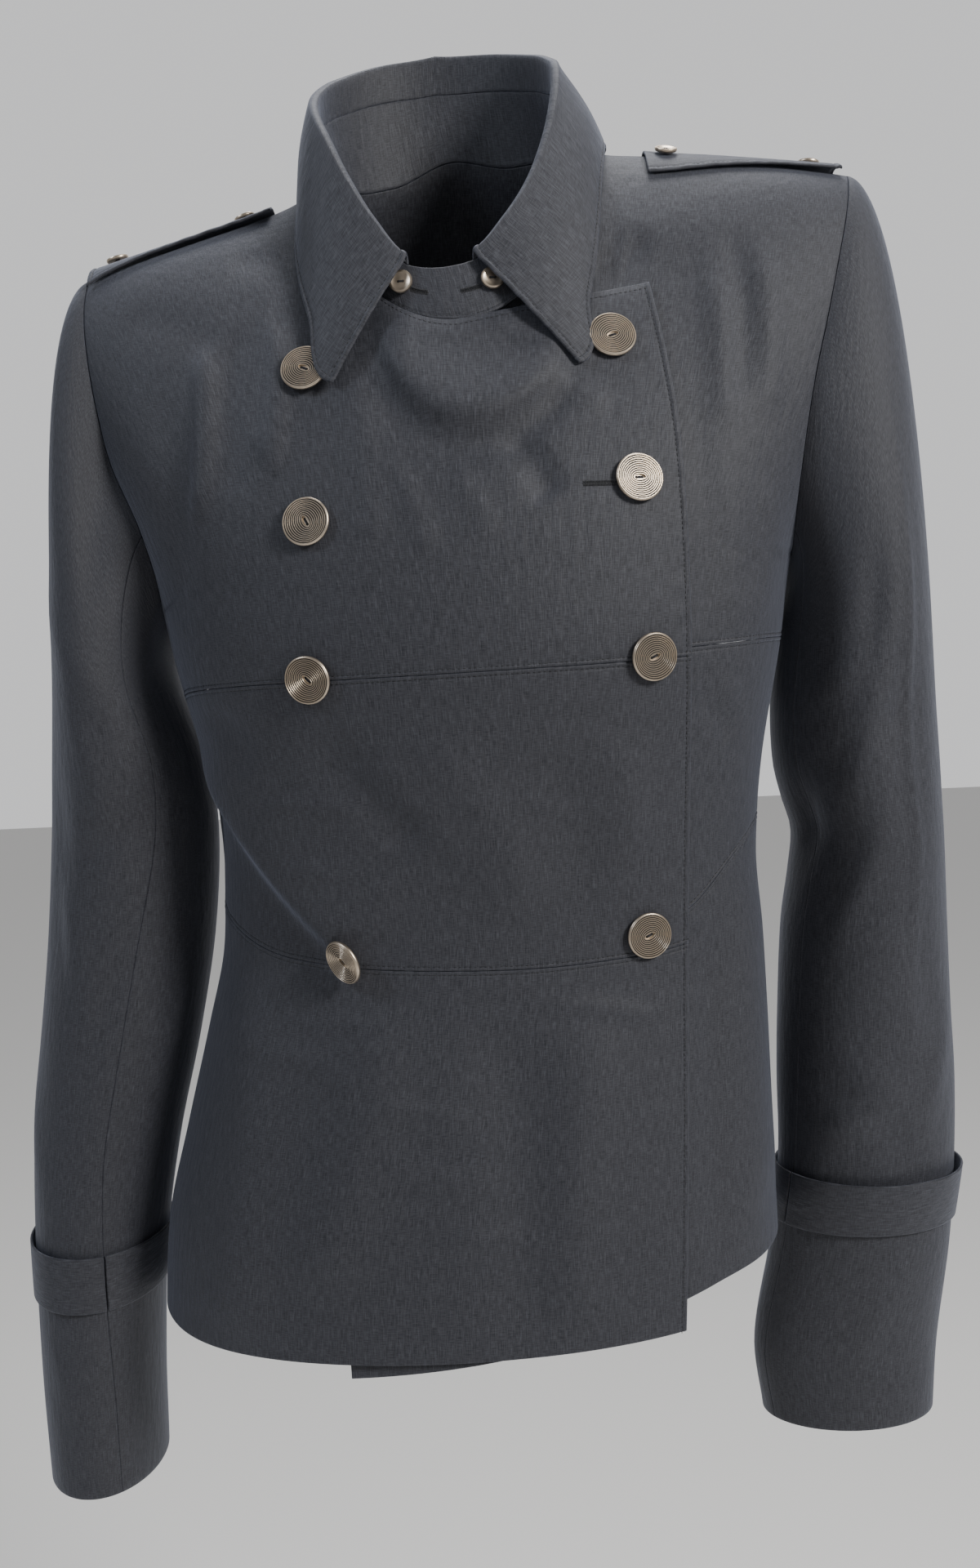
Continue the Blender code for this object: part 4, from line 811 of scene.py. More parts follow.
# Creases of the sleeves: side, angle, height, turn per metre, length, height of fold, width
SLEEVE_CREASES = (
    (-1, 62.0, -0.232, 1100.0, 0.090, 0.0018, 0.016),
    (-1, 91.0, -0.335, -1300.0, 0.050, -0.0020, 0.016),
    (1, 94.0, -0.230, 120.0, 0.090, -0.0036, 0.010),
    (1, 116.0, -0.268, 1500.0, 0.050, 0.0022, 0.013),
    (1, 100.0, -0.300, 1500.0, 0.050, -0.0020, 0.013),
    (1, 95.0, -0.495, -900.0, 0.040, 0.0022, 0.013),
    (-1, 45.0, -0.350, 40.0, 0.150, -0.0030, 0.014),
    (1, 70.0, -0.300, 60.0, 0.130, -0.0035, 0.014),
    (1, 150.0, -0.345, 250.0, 0.050, -0.0050, 0.012),
    (1, 110.0, -0.515, 900.0, 0.030, 0.0035, 0.016),
    (-1, 80.0, -0.300, 300.0, 0.090, 0.0018, 0.009),
    (-1, 60.0, -0.390, 420.0, 0.080, 0.0020, 0.009),
    (-1, 90.0, -0.430, -300.0, 0.080, -0.0016, 0.010),
    (-1, 30.0, -0.500, 350.0, 0.080, 0.0014, 0.010),
    (-1, 70.0, -0.640, 500.0, 0.040, 0.0010, 0.008),
    (-1, 10.0, -0.180, 60.0, 0.120, -0.0014, 0.010),
    (1, 66.0, -0.250, 20.0, 0.360, 0.0022, 0.0034),
    (1, 100.0, -0.300, 350.0, 0.070, 0.0022, 0.009),
    (1, 110.0, -0.380, 420.0, 0.080, 0.0020, 0.009),
    (1, 60.0, -0.440, -260.0, 0.090, -0.0018, 0.011),
    (1, 80.0, -0.530, -700.0, 0.040, -0.0022, 0.009),
    (1, 50.0, -0.490, 400.0, 0.070, 0.0018, 0.010),
    (1, 85.0, -0.640, 200.0, 0.060, 0.0010, 0.010),
    (-1, 250.0, -0.340, 300.0, 0.090, 0.0022, 0.012),
    (-1, 290.0, -0.400, -300.0, 0.100, -0.0020, 0.012),
    (-1, 270.0, -0.520, 350.0, 0.080, 0.0018, 0.012),
    (1, 250.0, -0.350, -300.0, 0.090, 0.0022, 0.012),
    (1, 290.0, -0.410, 300.0, 0.100, -0.0020, 0.012),
    (1, 275.0, -0.520, -350.0, 0.080, 0.0018, 0.012),
)


def sleeve_ring(side, angle, height):
    """Points of a sleeve below its head."""
    outer_x, inner_x, mid_y, half_depth = read_table(SLEEVES[side], height)[:4]
    turn = np.radians(angle)
    x = (outer_x + inner_x) / 2 + side * abs(outer_x - inner_x) / 2 * np.cos(turn)
    return np.stack(np.broadcast_arrays(x, mid_y - half_depth * np.sin(turn), height), axis=-1)


def sleeve_lift(side, angle, height):
    """Height that the creases add on a sleeve."""
    total = np.zeros(np.broadcast(angle, height).shape)
    for fold_side, fold_angle, fold_z, twist, length, depth, width in SLEEVE_CREASES:
        if fold_side == side:
            apart = (angle - fold_angle - twist * (fold_z - height) + 180.0) % 360.0 - 180.0
            aside, along = np.radians(apart) * 0.05, (height - fold_z) / (length / 2)
            total = total + depth * np.exp(-(aside / width) ** 2 - 1.5 * along ** 2)
    return total


def sleeve_point(side, angle, length):
    """Points of a sleeve: length 0 at the armhole, 1 below the armpit, 2 at the cuff hem."""
    angle, length = np.broadcast_arrays(np.asarray(angle, float), np.asarray(length, float))
    rows = SLEEVES[side]
    head_z, hem_z = rows[-1][0], rows[0][0]
    height = mix(head_z, hem_z, np.maximum(length - 1.0, 0.0))
    tube = sleeve_ring(side, angle, height)
    round_angle = angle % 360.0
    back = round_angle > 180.0
    places = edge_place(side, np.where(back, 360.0 - round_angle, round_angle))
    start = np.where(back[..., None], body_point(places[..., 0], places[..., 1], True),
                     body_point(places[..., 0], places[..., 1], False))
    cosine, sine = np.cos(np.radians(angle)), np.sin(np.radians(angle))
    leave = np.stack([side * (0.72 + 0.28 * cosine), -0.5 * sine, -0.10 - 0.45 * (1 - cosine)], axis=-1)
    leave = leave * (HEAD_REACH + HEAD_SWELL * cosine)[..., None]
    end = sleeve_ring(side, angle, np.full(angle.shape, head_z))
    arrive = sleeve_ring(side, angle, np.full(angle.shape, head_z - 0.01)) - end
    arrive = arrive * (np.linalg.norm(end - start, axis=-1, keepdims=True) / 0.01)
    start = start + unit(leave) * (2 * HALF_SEAM)
    share = np.clip(length, 0.0, 1.0)[..., None]
    square, cube = share ** 2, share ** 3
    head = (start * (2 * cube - 3 * square + 1) + leave * (cube - 2 * square + share)
            + end * (3 * square - 2 * cube) + arrive * (cube - square))
    points = np.where(length[..., None] < 1.0, head, tube)
    middle = (sleeve_ring(side, 0.0, height) + sleeve_ring(side, 180.0, height)) / 2
    crease_height = np.where(length < 1.0, points[..., 2], height)
    lift = sleeve_lift(side, angle, crease_height) * ease((length - 0.25) / 0.6)
    return points + unit(points - middle) * lift[..., None]


def seam_angles(side, length):
    """Angles of the front seam and the back seam of a sleeve at lengths."""
    rows = SLEEVES[side]
    height = mix(rows[-1][0], rows[0][0], np.maximum(length - 1.0, 0.0))
    front, back = read_table(rows, height)[4:6]
    return mix(SEAM_START[side], front, ease(length)), mix(BACK_SEAM_START, back, ease(length))


def sleeve_angles(side, length, upper, shares):
    """Angles of a sleeve piece's columns at lengths."""
    front, back = seam_angles(side, length)
    half_gap = math.degrees(HALF_SEAM / 0.045)
    if upper:
        return mix(back - 360.0 + half_gap, front - half_gap, shares)
    return mix(front + half_gap, back - half_gap, shares)


for side, word in ((-1, "right"), (1, "left")):
    for upper, piece_name in ((True, "_top_sleeve"), (False, "_under_sleeve")):
        steps = graded(18, 6)
        lengths = np.where(steps < 6, (np.minimum(steps, 6) / 6) ** 1.4, 1 + (steps - 6) / 12)[:, None]
        columns = graded(16, 5, 0.016) / 16 if upper else graded(8, 5, 0.016) / 8
        angles = sleeve_angles(side, lengths, upper, columns[None, :])
        face = sleeve_point(side, angles, lengths)
        lengths_down = np.broadcast_to(lengths * 0.45, angles.shape)
        grain = np.stack([np.radians(angles) * 0.055 + side * 3, -lengths_down], axis=-1)
        cloth_wall(word + piece_name, face, grain, side)


# Cuff straps: plain flat straps of doubled cloth, caught in the front sleeve seam and carried
# round the sleeve just above the cuff hem, standing a little off it along the top.
# Cuff straps: side, height of the middle at the outer side, gape of the top edge
CUFF_STRAPS = ((-1, -0.583, 0.0010), (1, -0.568, 0.0040))
STRAP_HEIGHT = 0.0310
STRAP_LIFT = 0.0022
for side, middle_z, gape in CUFF_STRAPS:
    word = "left" if side > 0 else "right"
    head_z, hem_z = SLEEVES[side][-1][0], SLEEVES[side][0][0]
    for upper, piece_name in ((True, "_cuff_strap"), (False, "_cuff_strap_under")):
        shares = (graded(2, 6) / 2)[:, None]
        heights = middle_z + (shares - 0.5) * STRAP_HEIGHT
        lengths = 1 + (head_z - heights) / (head_z - hem_z)
        columns = graded(16 if upper else 8, 5)
        columns = columns / columns[-1]
        angles = sleeve_angles(side, lengths, upper, columns[None, :])
        angles = mix(angles[:, :1] + 0.6, angles[:, -1:] - 0.6, columns[None, :])
        base = sleeve_point(side, angles, lengths)
        normals = grid_normals(base, -side)
        gaping = gape * shares * np.maximum(np.cos(np.radians(angles - 60.0)), 0.0) * upper
        face = base + normals * (STRAP_LIFT + gaping)[..., None]
        grain = np.stack([np.broadcast_to(heights, angles.shape), np.radians(angles) * 0.055], axis=-1)
        cloth_wall(word + piece_name, face, grain, -side)


# Collar: a stand round the neck seam that crosses at the front, and a fall that rolls over it
# and ends in two long points lying on the fronts. Doubled cloth with an interlining.
COLLAR_MID = (-0.0125, -0.010)
COLLAR_HALF = (0.0625, 0.061)
# Collar by the angle from the front, plus towards the wearer's left: fold height, drop from
# the fold to the stand seam, outer edge across, outer edge height, lift of the outer edge
COLLAR_LINES = (
    (-180.0, 0.086, 0.022, -0.0125, 0.018, 0.0040),
    (-150.0, 0.079, 0.021, -0.0480, -0.004, 0.0040),
    (-120.0, 0.065, 0.020, -0.0775, -0.010, 0.0042),
    (-105.0, 0.056, 0.019, -0.0820, -0.0045, 0.0045),
    (-90.0, 0.046, 0.017, -0.0830, -0.001, 0.0045),
    (-75.0, 0.034, 0.014, -0.0850, -0.016, 0.0042),
    (-60.0, 0.018, 0.011, -0.0860, -0.037, 0.0042),
    (-45.0, -0.005, 0.009, -0.0845, -0.056, 0.0045),
    (-30.0, -0.029, 0.007, -0.0785, -0.080, 0.0060),
    (-15.0, -0.048, 0.006, -0.0665, -0.1145, 0.0060),
    (15.0, -0.047, 0.006, 0.0530, -0.1085, 0.0030),
    (30.0, -0.031, 0.007, 0.0605, -0.076, 0.0030),
    (45.0, -0.011, 0.009, 0.0660, -0.050, 0.0030),
    (60.0, 0.013, 0.011, 0.0690, -0.030, 0.0030),
    (75.0, 0.038, 0.014, 0.0720, -0.007, 0.0042),
    (90.0, 0.058, 0.017, 0.0765, 0.0155, 0.0045),
    (105.0, 0.067, 0.019, 0.0745, 0.0115, 0.0048),
    (120.0, 0.074, 0.020, 0.0660, 0.004, 0.0042),
    (150.0, 0.083, 0.021, 0.0320, 0.010, 0.0040),
    (180.0, 0.086, 0.022, -0.0125, 0.018, 0.0040),
)
# Collar's outer edge behind the shoulders: angle, across, depth, least height
COLLAR_BACK_EDGE = (
    (-180.0, -0.0125, 0.0680, 0.0130),
    (-150.0, -0.0460, 0.0590, 0.0090),
    (-120.0, -0.0720, 0.0370, 0.0020),
    (-105.0, -0.0805, 0.0180, -0.0060),
    (-90.0, -0.0830, 0.0004, -0.0500),
    (90.0, 0.0765, 0.0004, -0.0500),
    (105.0, 0.0740, 0.0200, -0.0060),
    (120.0, 0.0635, 0.0400, 0.0020),
    (150.0, 0.0330, 0.0600, 0.0090),
    (180.0, -0.0125, 0.0680, 0.0130),
)
STAND_UNDER_END = -14.0
STAND_OVER_END = 392.0
STAND_COVERED = 36.0
FOLD_WIDTH = 0.0062


def collar_row(angle):
    """Collar measures at angles, wrapped to half a turn each way."""
    return read_table(COLLAR_LINES, (np.asarray(angle, float) + 180.0) % 360.0 - 180.0)


def outward_at(angle):
    turn = np.radians(angle)
    return np.stack([np.sin(turn), -np.cos(turn), np.zeros_like(turn)], axis=-1)


def collar_ring(angle, height):
    turn = np.radians(angle)
    return np.stack([COLLAR_MID[0] + COLLAR_HALF[0] * np.sin(turn),
                     COLLAR_MID[1] - COLLAR_HALF[1] * np.cos(turn), height], axis=-1)


def on_body(x, z, lift, back):
    """Points at a lift above the body where it is seen at (x, z); back is a flag for each."""
    across, climb = body_place(x, z)
    points = [body_point(across, climb, flag) + body_normal(across, climb, flag) * np.asarray(lift)[..., None]
              for flag in (False, True)]
    return np.where(np.asarray(back)[..., None], points[1], points[0])


def stand_point(angle, share, lift=0.0):
    """Points of the stand's outer face, from the neck seam (0) to the fall's seam (1)."""
    angle, share = np.broadcast_arrays(np.asarray(angle, float), np.asarray(share, float))
    wrapped = (angle + 180.0) % 360.0 - 180.0
    x, z = neck_seam(wrapped)
    low = on_body(x, z, np.zeros(x.shape), abs(wrapped) > 90.0) + np.array((0, 0, 2 * HALF_SEAM))
    fold_z, drop = collar_row(angle)[:2]
    high = collar_ring(wrapped, fold_z - drop)
    covered = 1 - ease((angle - STAND_COVERED) / 60.0)
    return mix(low, high, share[..., None]) + outward_at(wrapped) * (lift - LAP_STEP * covered)[..., None]


def fall_profile(angle):
    """Nine places of the fall: up inside from the stand, over the fold and down to the edge."""
    wrapped = (angle + 180.0) % 360.0 - 180.0
    fold_z, drop, edge_x, edge_z, edge_lift = collar_row(angle)
    outward, down = outward_at(wrapped), np.array((0.0, 0.0, -1.0))
    ring = collar_ring(wrapped, fold_z)
    places = [ring - outward * CLOTH + down * (drop - 2 * HALF_SEAM)[..., None],
              ring - outward * CLOTH + down * 0.0032,
              ring + outward * (FOLD_WIDTH * 0.28 - CLOTH) + down * 0.0004,
              ring + outward * (FOLD_WIDTH * 0.72 - CLOTH) + down * 0.0004]
    start = ring + outward * (FOLD_WIDTH - CLOTH) + down * 0.0038
    behind = abs(wrapped) > 90.0
    back_x, back_y, least_z = read_table(COLLAR_BACK_EDGE, wrapped)
    back_z = np.maximum(shoulder_top(back_x, back_y) + edge_lift, least_z)
    edge_back = np.stack([back_x, back_y, back_z], axis=-1)
    edge = np.where(behind[..., None], edge_back, on_body(edge_x, edge_z, edge_lift, behind))
    for share in (0.0, 0.25, 0.5, 0.75, 1.0):
        places.append(mix(start, edge, share) + outward * 0.0025 * math.sin(math.pi * share))
    return np.stack(places)


stand_angles = np.concatenate([[STAND_UNDER_END, STAND_UNDER_END + 1.2],
                               np.arange(STAND_UNDER_END + 3, STAND_OVER_END - 1.5, 2.5),
                               [STAND_OVER_END - 1.2, STAND_OVER_END]])
stand_shares = (graded(2, 6, 0.012) / 2)[:, None]
face = stand_point(stand_angles[None, :], stand_shares)
grain = np.stack([np.broadcast_to(np.radians(stand_angles) * 0.0625 + 7, face.shape[:2]),
                  np.broadcast_to(stand_shares * 0.03, face.shape[:2])], axis=-1)
cloth_wall("collar_stand", face, grain, 1)

fall_angles = 15.0 + graded(22, 6, 0.024) * 15.0
profile = fall_profile(fall_angles)
indexed = np.concatenate([np.arange(9.0)[:, None], profile.reshape(9, -1)], axis=1)
fall_places = np.concatenate([[0, 0.10], np.arange(1, 6) / 6, 1 + np.arange(9) / 3,
                              4 + np.arange(1, 30) / 8,
                              [7.70, 7.76, 7.80, 7.84, 7.88, 7.92, 7.96, 8.0]])
face = read_table(indexed, fall_places).T.reshape(len(fall_places), len(fall_angles), 3)
along_fall = np.cumsum(np.linalg.norm(np.diff(face, axis=0, prepend=face[:1]), axis=-1), axis=0)
grain = np.stack([np.broadcast_to(np.radians(fall_angles) * 0.07 + 9, face.shape[:2]), along_fall], axis=-1)
cloth_wall("collar_fall", face, grain, -1)


# Shoulder straps: short straight straps of doubled cloth lying along each shoulder seam, held by
# a small button at each end and gaping a little along the front.
# Shoulder straps: side, then for the inner and the outer end the place across, the depth of the
# strap's middle and the gape of its front edge, then the lift of the outer end
SHOULDER_STRAPS = {
    -1: ((-0.102, 0.003, 0.0042), (-0.1995, -0.003, 0.0010), 0.0025),
    1: ((0.097, -0.005, 0.0008), (0.2005, 0.006, 0.0006), 0.0025),
}
SHOULDER_STRAP_WIDTH = 0.040
SHOULDER_STRAP_LIFT = 0.0030


def strap_point(side, share, width_share):
    """Points of a shoulder strap: share along from the inner end, width_share from -1 to 1."""
    inner_end, outer_end, end_lift = SHOULDER_STRAPS[side]
    x, middle_y, gape = (mix(inner_end[k], outer_end[k], share) for k in range(3))
    y = middle_y + width_share * SHOULDER_STRAP_WIDTH / 2
    lifted = SHOULDER_STRAP_LIFT + end_lift * share ** 4 + gape * np.maximum(-width_share, 0.0) ** 1.5
    x, y, lifted = np.broadcast_arrays(x, y, lifted)
    return np.stack([x, y, shoulder_top(x, y) + lifted], axis=-1)


for side, word in ((-1, "right"), (1, "left")):
    shares = (graded(7, 5, 0.014) / 7)[None, :]
    widths = (graded(4, 4, 0.010) / 2 - 1.0)[:, None]
    face = strap_point(side, shares, widths)
    grain = np.stack([np.broadcast_to(widths * 0.02 + 11 + side, face.shape[:2]),
                      np.broadcast_to(shares * 0.1, face.shape[:2])], axis=-1)
    cloth_wall(word + "_shoulder_strap", face, grain, side)


# Large buttons: cast metal buttons in old gold, ten raised rings that widen from the sunk thread
# slot to the round rim, sewn through two holes in the slot that are drawn as flat dark discs of
# painted shade. Darkened between the rings.
LARGE_RADIUS = 0.0120
BUTTON_THICK = 0.0026
BUTTON_FOOT = 0.0008
RING_COUNT = 10
RING_WIRE = 0.00025
SLOT_HALF_LENGTH = 0.0030
SLOT_HALF_WIDTH = 0.0014
HOLE_APART = 0.0015
SLOT_DEPTH = 0.0017
# Half sizes of each flat dark disc of painted shade that stands for a hole
HOLE_SIZE = (0.00075, 0.00075, 0.00008)
# Strands of thread in the slot: place aside, height above its floor, half sizes
LARGE_STRANDS = (
    (-0.00028, 0.0001, (0.0017, 0.0003, 0.0004)),
    (0.00030, 0.0001, (0.0016, 0.0003, 0.0004)),
)
# Places of the button's materials in its list
GOLD = 0
DARK = 1
THREAD = 2
# Large buttons: name, across, height, turn of the thread slot, tip right, tip up
LARGE_BUTTONS = (
    ("button_right_1", -0.0812, -0.105, -25.0, 0.0, 0.0),
    ("button_right_2", -0.0820, -0.180, -60.0, 0.0, 0.0),
    ("button_right_3", -0.0850, -0.2555, -45.0, 0.0, 0.0),
    ("button_right_4", -0.0745, -0.3990, -50.0, -30.0, -16.0),
    ("button_left_1", 0.0705, -0.0940, 20.0, 0.0, 0.0),
    ("button_left_2", 0.0790, -0.1655, 0.0, 0.0, 0.0),
    ("button_left_3", 0.0825, -0.2515, 22.0, 0.0, 0.0),
    ("button_left_4", 0.0780, -0.3940, 22.0, 0.0, 0.0),
)


def plain_material(name, colour, roughness, metallic):
    material = bpy.data.materials.new(name)
    material.use_nodes = True
    shader = material.node_tree.nodes["Principled BSDF"]
    shader.inputs["Base Color"].default_value = colour
    shader.inputs["Roughness"].default_value = roughness
    shader.inputs["Metallic"].default_value = metallic
    return material


old_gold = plain_material("old_gold", (0.56, 0.47, 0.37, 1.0), 0.36, 1.0)
# Dark field between the rings; the same material makes the flat dark discs of painted shade that stand for
# the thread holes
dark_field_and_hole_shade = plain_material("dark_field_and_hole_shade", (0.020, 0.015, 0.011, 1.0), 0.65, 0.2)
button_thread = plain_material("button_thread", (0.012, 0.012, 0.016, 1.0), 0.8, 0.0)
button_materials = [old_gold, dark_field_and_hole_shade, button_thread]


def new_tree(name, inputs):
    """Geometry Nodes tree with a geometry in and out and named inputs of (kind, value)."""
    tree = bpy.data.node_groups.new(name, "GeometryNodeTree")
    tree.interface.new_socket(name="Geometry", in_out="INPUT", socket_type="NodeSocketGeometry")
    tree.interface.new_socket(name="Geometry", in_out="OUTPUT", socket_type="NodeSocketGeometry")
    for label, kind in inputs:
        tree.interface.new_socket(name=label, in_out="INPUT", socket_type="NodeSocket" + kind)
    return tree, tree.nodes.new("NodeGroupInput"), tree.nodes.new("NodeGroupOutput")


def made_by(tree, mesh, values):
    """Plain mesh that a tree makes from a mesh, with its inputs set by their identifiers."""
    maker = bpy.data.objects.new("maker", mesh)
    bpy.context.scene.collection.objects.link(maker)
    modifier = maker.modifiers.new("make", "NODES")
    modifier.node_group = tree
    identifiers = {item.name: item.identifier for item in tree.interface.items_tree
                   if item.in_out == "INPUT"}
    for label, value in values.items():
        modifier[identifiers[label]] = value
    evaluated = maker.evaluated_get(bpy.context.evaluated_depsgraph_get())
    made = bpy.data.meshes.new_from_object(evaluated)
    maker.modifiers.remove(modifier)
    bpy.data.objects.remove(maker)
    return made


def ring_tree():
    """Raised rings on a button's face, each between the thread slot's oval and the round rim."""
    tree, given, result = new_tree("button_rings", (
        ("Rings", "Int"), ("Slot half length", "Float"), ("Slot half width", "Float"),
        ("Rim radius", "Float"), ("Centre height", "Float"), ("Rim height", "Float"),
        ("Wire", "Float"), ("Metal", "Material")))
    circle = tree.nodes.new("GeometryNodeCurvePrimitiveCircle")
    circle.inputs["Resolution"].default_value = 64
    circle.inputs["Radius"].default_value = 1.0
    copies = tree.nodes.new("GeometryNodeDuplicateElements")
    copies.domain = "SPLINE"
    link(tree, circle.outputs["Curve"], copies.inputs["Geometry"])
    link(tree, given.outputs["Rings"], copies.inputs["Amount"])
    share = math_node(tree, "DIVIDE", copies.outputs["Duplicate Index"],
                      math_node(tree, "SUBTRACT", given.outputs["Rings"], 1.0))
    position = tree.nodes.new("GeometryNodeInputPosition")
    apart = tree.nodes.new("ShaderNodeSeparateXYZ")
    link(tree, position.outputs["Position"], apart.inputs["Vector"])
    placed = tree.nodes.new("ShaderNodeCombineXYZ")
    for axis, label in (("X", "Slot half length"), ("Y", "Slot half width")):
        room = math_node(tree, "SUBTRACT", given.outputs["Rim radius"], given.outputs[label])
        reach = math_node(tree, "ADD", given.outputs[label], math_node(tree, "MULTIPLY", room, share))
        link(tree, math_node(tree, "MULTIPLY", apart.outputs[axis], reach), placed.inputs[axis])
    rise = math_node(tree, "SUBTRACT", given.outputs["Rim height"], given.outputs["Centre height"])
    rise = math_node(tree, "MULTIPLY", rise, math_node(tree, "POWER", share, 1.5))
    link(tree, math_node(tree, "ADD", given.outputs["Centre height"], rise), placed.inputs["Z"])
    bend = tree.nodes.new("GeometryNodeSetPosition")
    link(tree, copies.outputs["Geometry"], bend.inputs["Geometry"])
    link(tree, placed.outputs["Vector"], bend.inputs["Position"])
    wire = tree.nodes.new("GeometryNodeCurvePrimitiveCircle")
    wire.inputs["Resolution"].default_value = 6
    link(tree, given.outputs["Wire"], wire.inputs["Radius"])
    solid = tree.nodes.new("GeometryNodeCurveToMesh")
    link(tree, bend.outputs["Geometry"], solid.inputs["Curve"])
    link(tree, wire.outputs["Curve"], solid.inputs["Profile Curve"])
    paint = tree.nodes.new("GeometryNodeSetMaterial")
    link(tree, solid.outputs["Mesh"], paint.inputs["Geometry"])
    link(tree, given.outputs["Metal"], paint.inputs["Material"])
    both = tree.nodes.new("GeometryNodeJoinGeometry")
    link(tree, paint.outputs["Geometry"], both.inputs["Geometry"])
    link(tree, given.outputs["Geometry"], both.inputs["Geometry"])
    real = tree.nodes.new("GeometryNodeRealizeInstances")
    link(tree, both.outputs["Geometry"], real.inputs["Geometry"])
    link(tree, real.outputs["Geometry"], result.inputs["Geometry"])
    return tree


def turned_mesh(name, profile, ovals, steps, materials, slots):
    """Mesh turned from profile points (radius, height); ovals give each ring's own half sizes."""
    turns = np.arange(steps) * 2 * math.pi / steps
    points, faces, face_slots = [], [], []
    for (radius, height), oval in zip(profile, ovals):
        half_x, half_y = oval if oval else (radius, radius)
        points += [(half_x * math.cos(t), half_y * math.sin(t), height) for t in turns]
    for ring in range(len(profile) - 1):
        for k in range(steps):
            after = (k + 1) % steps
            faces.append((ring * steps + k, (ring + 1) * steps + k, (ring + 1) * steps + after,
                          ring * steps + after))
            face_slots.append(slots[ring])
    last = (len(profile) - 1) * steps
    faces.append(tuple(range(steps))[::-1])
    faces.append(tuple(last + k for k in range(steps)))
    face_slots += [slots[0], slots[-1]]
    mesh = bpy.data.meshes.new(name)
    mesh.from_pydata(points, [], faces)
    for material in materials:
        mesh.materials.append(material)
    mesh.polygons.foreach_set("material_index", face_slots)
    return mesh


def joined_mesh(name, meshes):
    """One mesh of several that have the same materials in the same order."""
    together = bmesh.new()
    for mesh in meshes:
        together.from_mesh(mesh)
    joined = bpy.data.meshes.new(name)
    for material in meshes[0].materials:
        joined.materials.append(material)
    together.to_mesh(joined)
    together.free()
    return joined


def rounded_lump(name, place, half_sizes, slot, materials):
    """Closed egg-shaped lump, such as a strand of thread, or a flat dark disc of painted shade where a hole
    is.
    """
    lump = bmesh.new()
    bmesh.ops.create_uvsphere(lump, u_segments=12, v_segments=6, radius=1.0)
    shape = Matrix.Translation(place) @ Matrix.Diagonal((*half_sizes, 1.0))
    bmesh.ops.transform(lump, matrix=shape, verts=lump.verts)
    for face in lump.faces:
        face.material_index = slot
    mesh = bpy.data.meshes.new(name)
    for material in materials:
        mesh.materials.append(material)
    lump.to_mesh(mesh)
    lump.free()
    return mesh


def sewn_centre(apart, floor, hole_size, strands):
    """Two flat dark discs of painted shade for the holes on a button's floor, and the strands of thread that
    run between them.
    """
    lumps = [rounded_lump("hole", (x, 0, floor), hole_size, DARK, button_materials)
             for x in (-apart, apart)]
    return lumps + [rounded_lump("thread", (0, aside, floor + rise), half_sizes, THREAD, button_materials)
                    for aside, rise, half_sizes in strands]


def placing_tree():
    """Copies of one button on points, each turned by the point's own rotation."""
    tree, given, result = new_tree("sewn_on_buttons", (("Button", "Object"),))
    source = tree.nodes.new("GeometryNodeObjectInfo")
    link(tree, given.outputs["Button"], source.inputs["Object"])
    turn = tree.nodes.new("GeometryNodeInputNamedAttribute")
    turn.data_type = "QUATERNION"
    turn.inputs["Name"].default_value = "turn"
    copies = tree.nodes.new("GeometryNodeInstanceOnPoints")
    link(tree, given.outputs["Geometry"], copies.inputs["Points"])
    link(tree, source.outputs["Geometry"], copies.inputs["Instance"])
    link(tree, turn.outputs["Attribute"], copies.inputs["Rotation"])
    real = tree.nodes.new("GeometryNodeRealizeInstances")
    link(tree, copies.outputs["Instances"], real.inputs["Geometry"])
    link(tree, real.outputs["Geometry"], result.inputs["Geometry"])
    return tree


button_placing = placing_tree()


def place_buttons(name, button_mesh, matrices, nodes):
    """One piece of all the buttons of a kind, standing for their nodes."""
    master = bpy.data.objects.new(name + "_master", button_mesh)
    bpy.context.scene.collection.objects.link(master)
    spots = bpy.data.meshes.new(name + "_spots")
    spots.from_pydata([tuple(matrix.translation) for matrix in matrices], [], [])
    turns = spots.attributes.new("turn", "QUATERNION", "POINT")
    turns.data.foreach_set("value", [part for matrix in matrices for part in matrix.to_quaternion()])
    mesh = made_by(button_placing, spots, {"Button": master})
    bpy.data.objects.remove(master)
    mesh.shade_smooth()
    mesh.set_sharp_from_angle(angle=math.radians(50))
    return finish_piece(name, mesh, [], nodes)


def button_matrix(point, normal, slot_turn=0.0, tip_right=0.0, tip_up=0.0):
    """Place of a button that stands on a point with its face along a normal."""
    normal = Vector(normal).normalized()
    across = Vector((0, 0, 1)).cross(normal)
    if across.length < 0.3:
        across = Vector((1, 0, 0))
    across.normalize()
    upward = normal.cross(across).normalized()
    across = upward.cross(normal)
    tip = Matrix.Rotation(math.radians(tip_right), 4, "Y") @ Matrix.Rotation(math.radians(-tip_up), 4, "X")
    turn = Matrix.Rotation(math.radians(slot_turn), 4, "Z")
    frame_axes = Matrix((across, upward, normal)).transposed().to_4x4()
    return Matrix.Translation(Vector(point)) @ frame_axes @ tip @ turn


def front_place(x, z):
    """Point and normal of the right front's outer face at (x, z)."""
    across, climb = body_place(x, z)
    places = np.stack([across, climb], axis=-1)
    return body_face(places, "over"), body_normal(across, climb, False)


def seated(matrix, normal):
    """The same place, moved out until the button's foot and rim clear the cloth."""
    turns = np.arange(24) * math.pi / 12
    needed = 0.0
    for radius, height in ((0.0, 0.0), (LARGE_RADIUS * 0.5, BUTTON_FOOT), (LARGE_RADIUS, BUTTON_FOOT)):
        for t in turns:
            rim = matrix @ Vector((radius * math.cos(t), radius * math.sin(t), height))
            needed = max(needed, rim.y - float(front_place(rim.x, rim.z)[0][1]))
    return Matrix.Translation(Vector(normal) * (needed + 2 * HALF_SEAM)) @ matrix


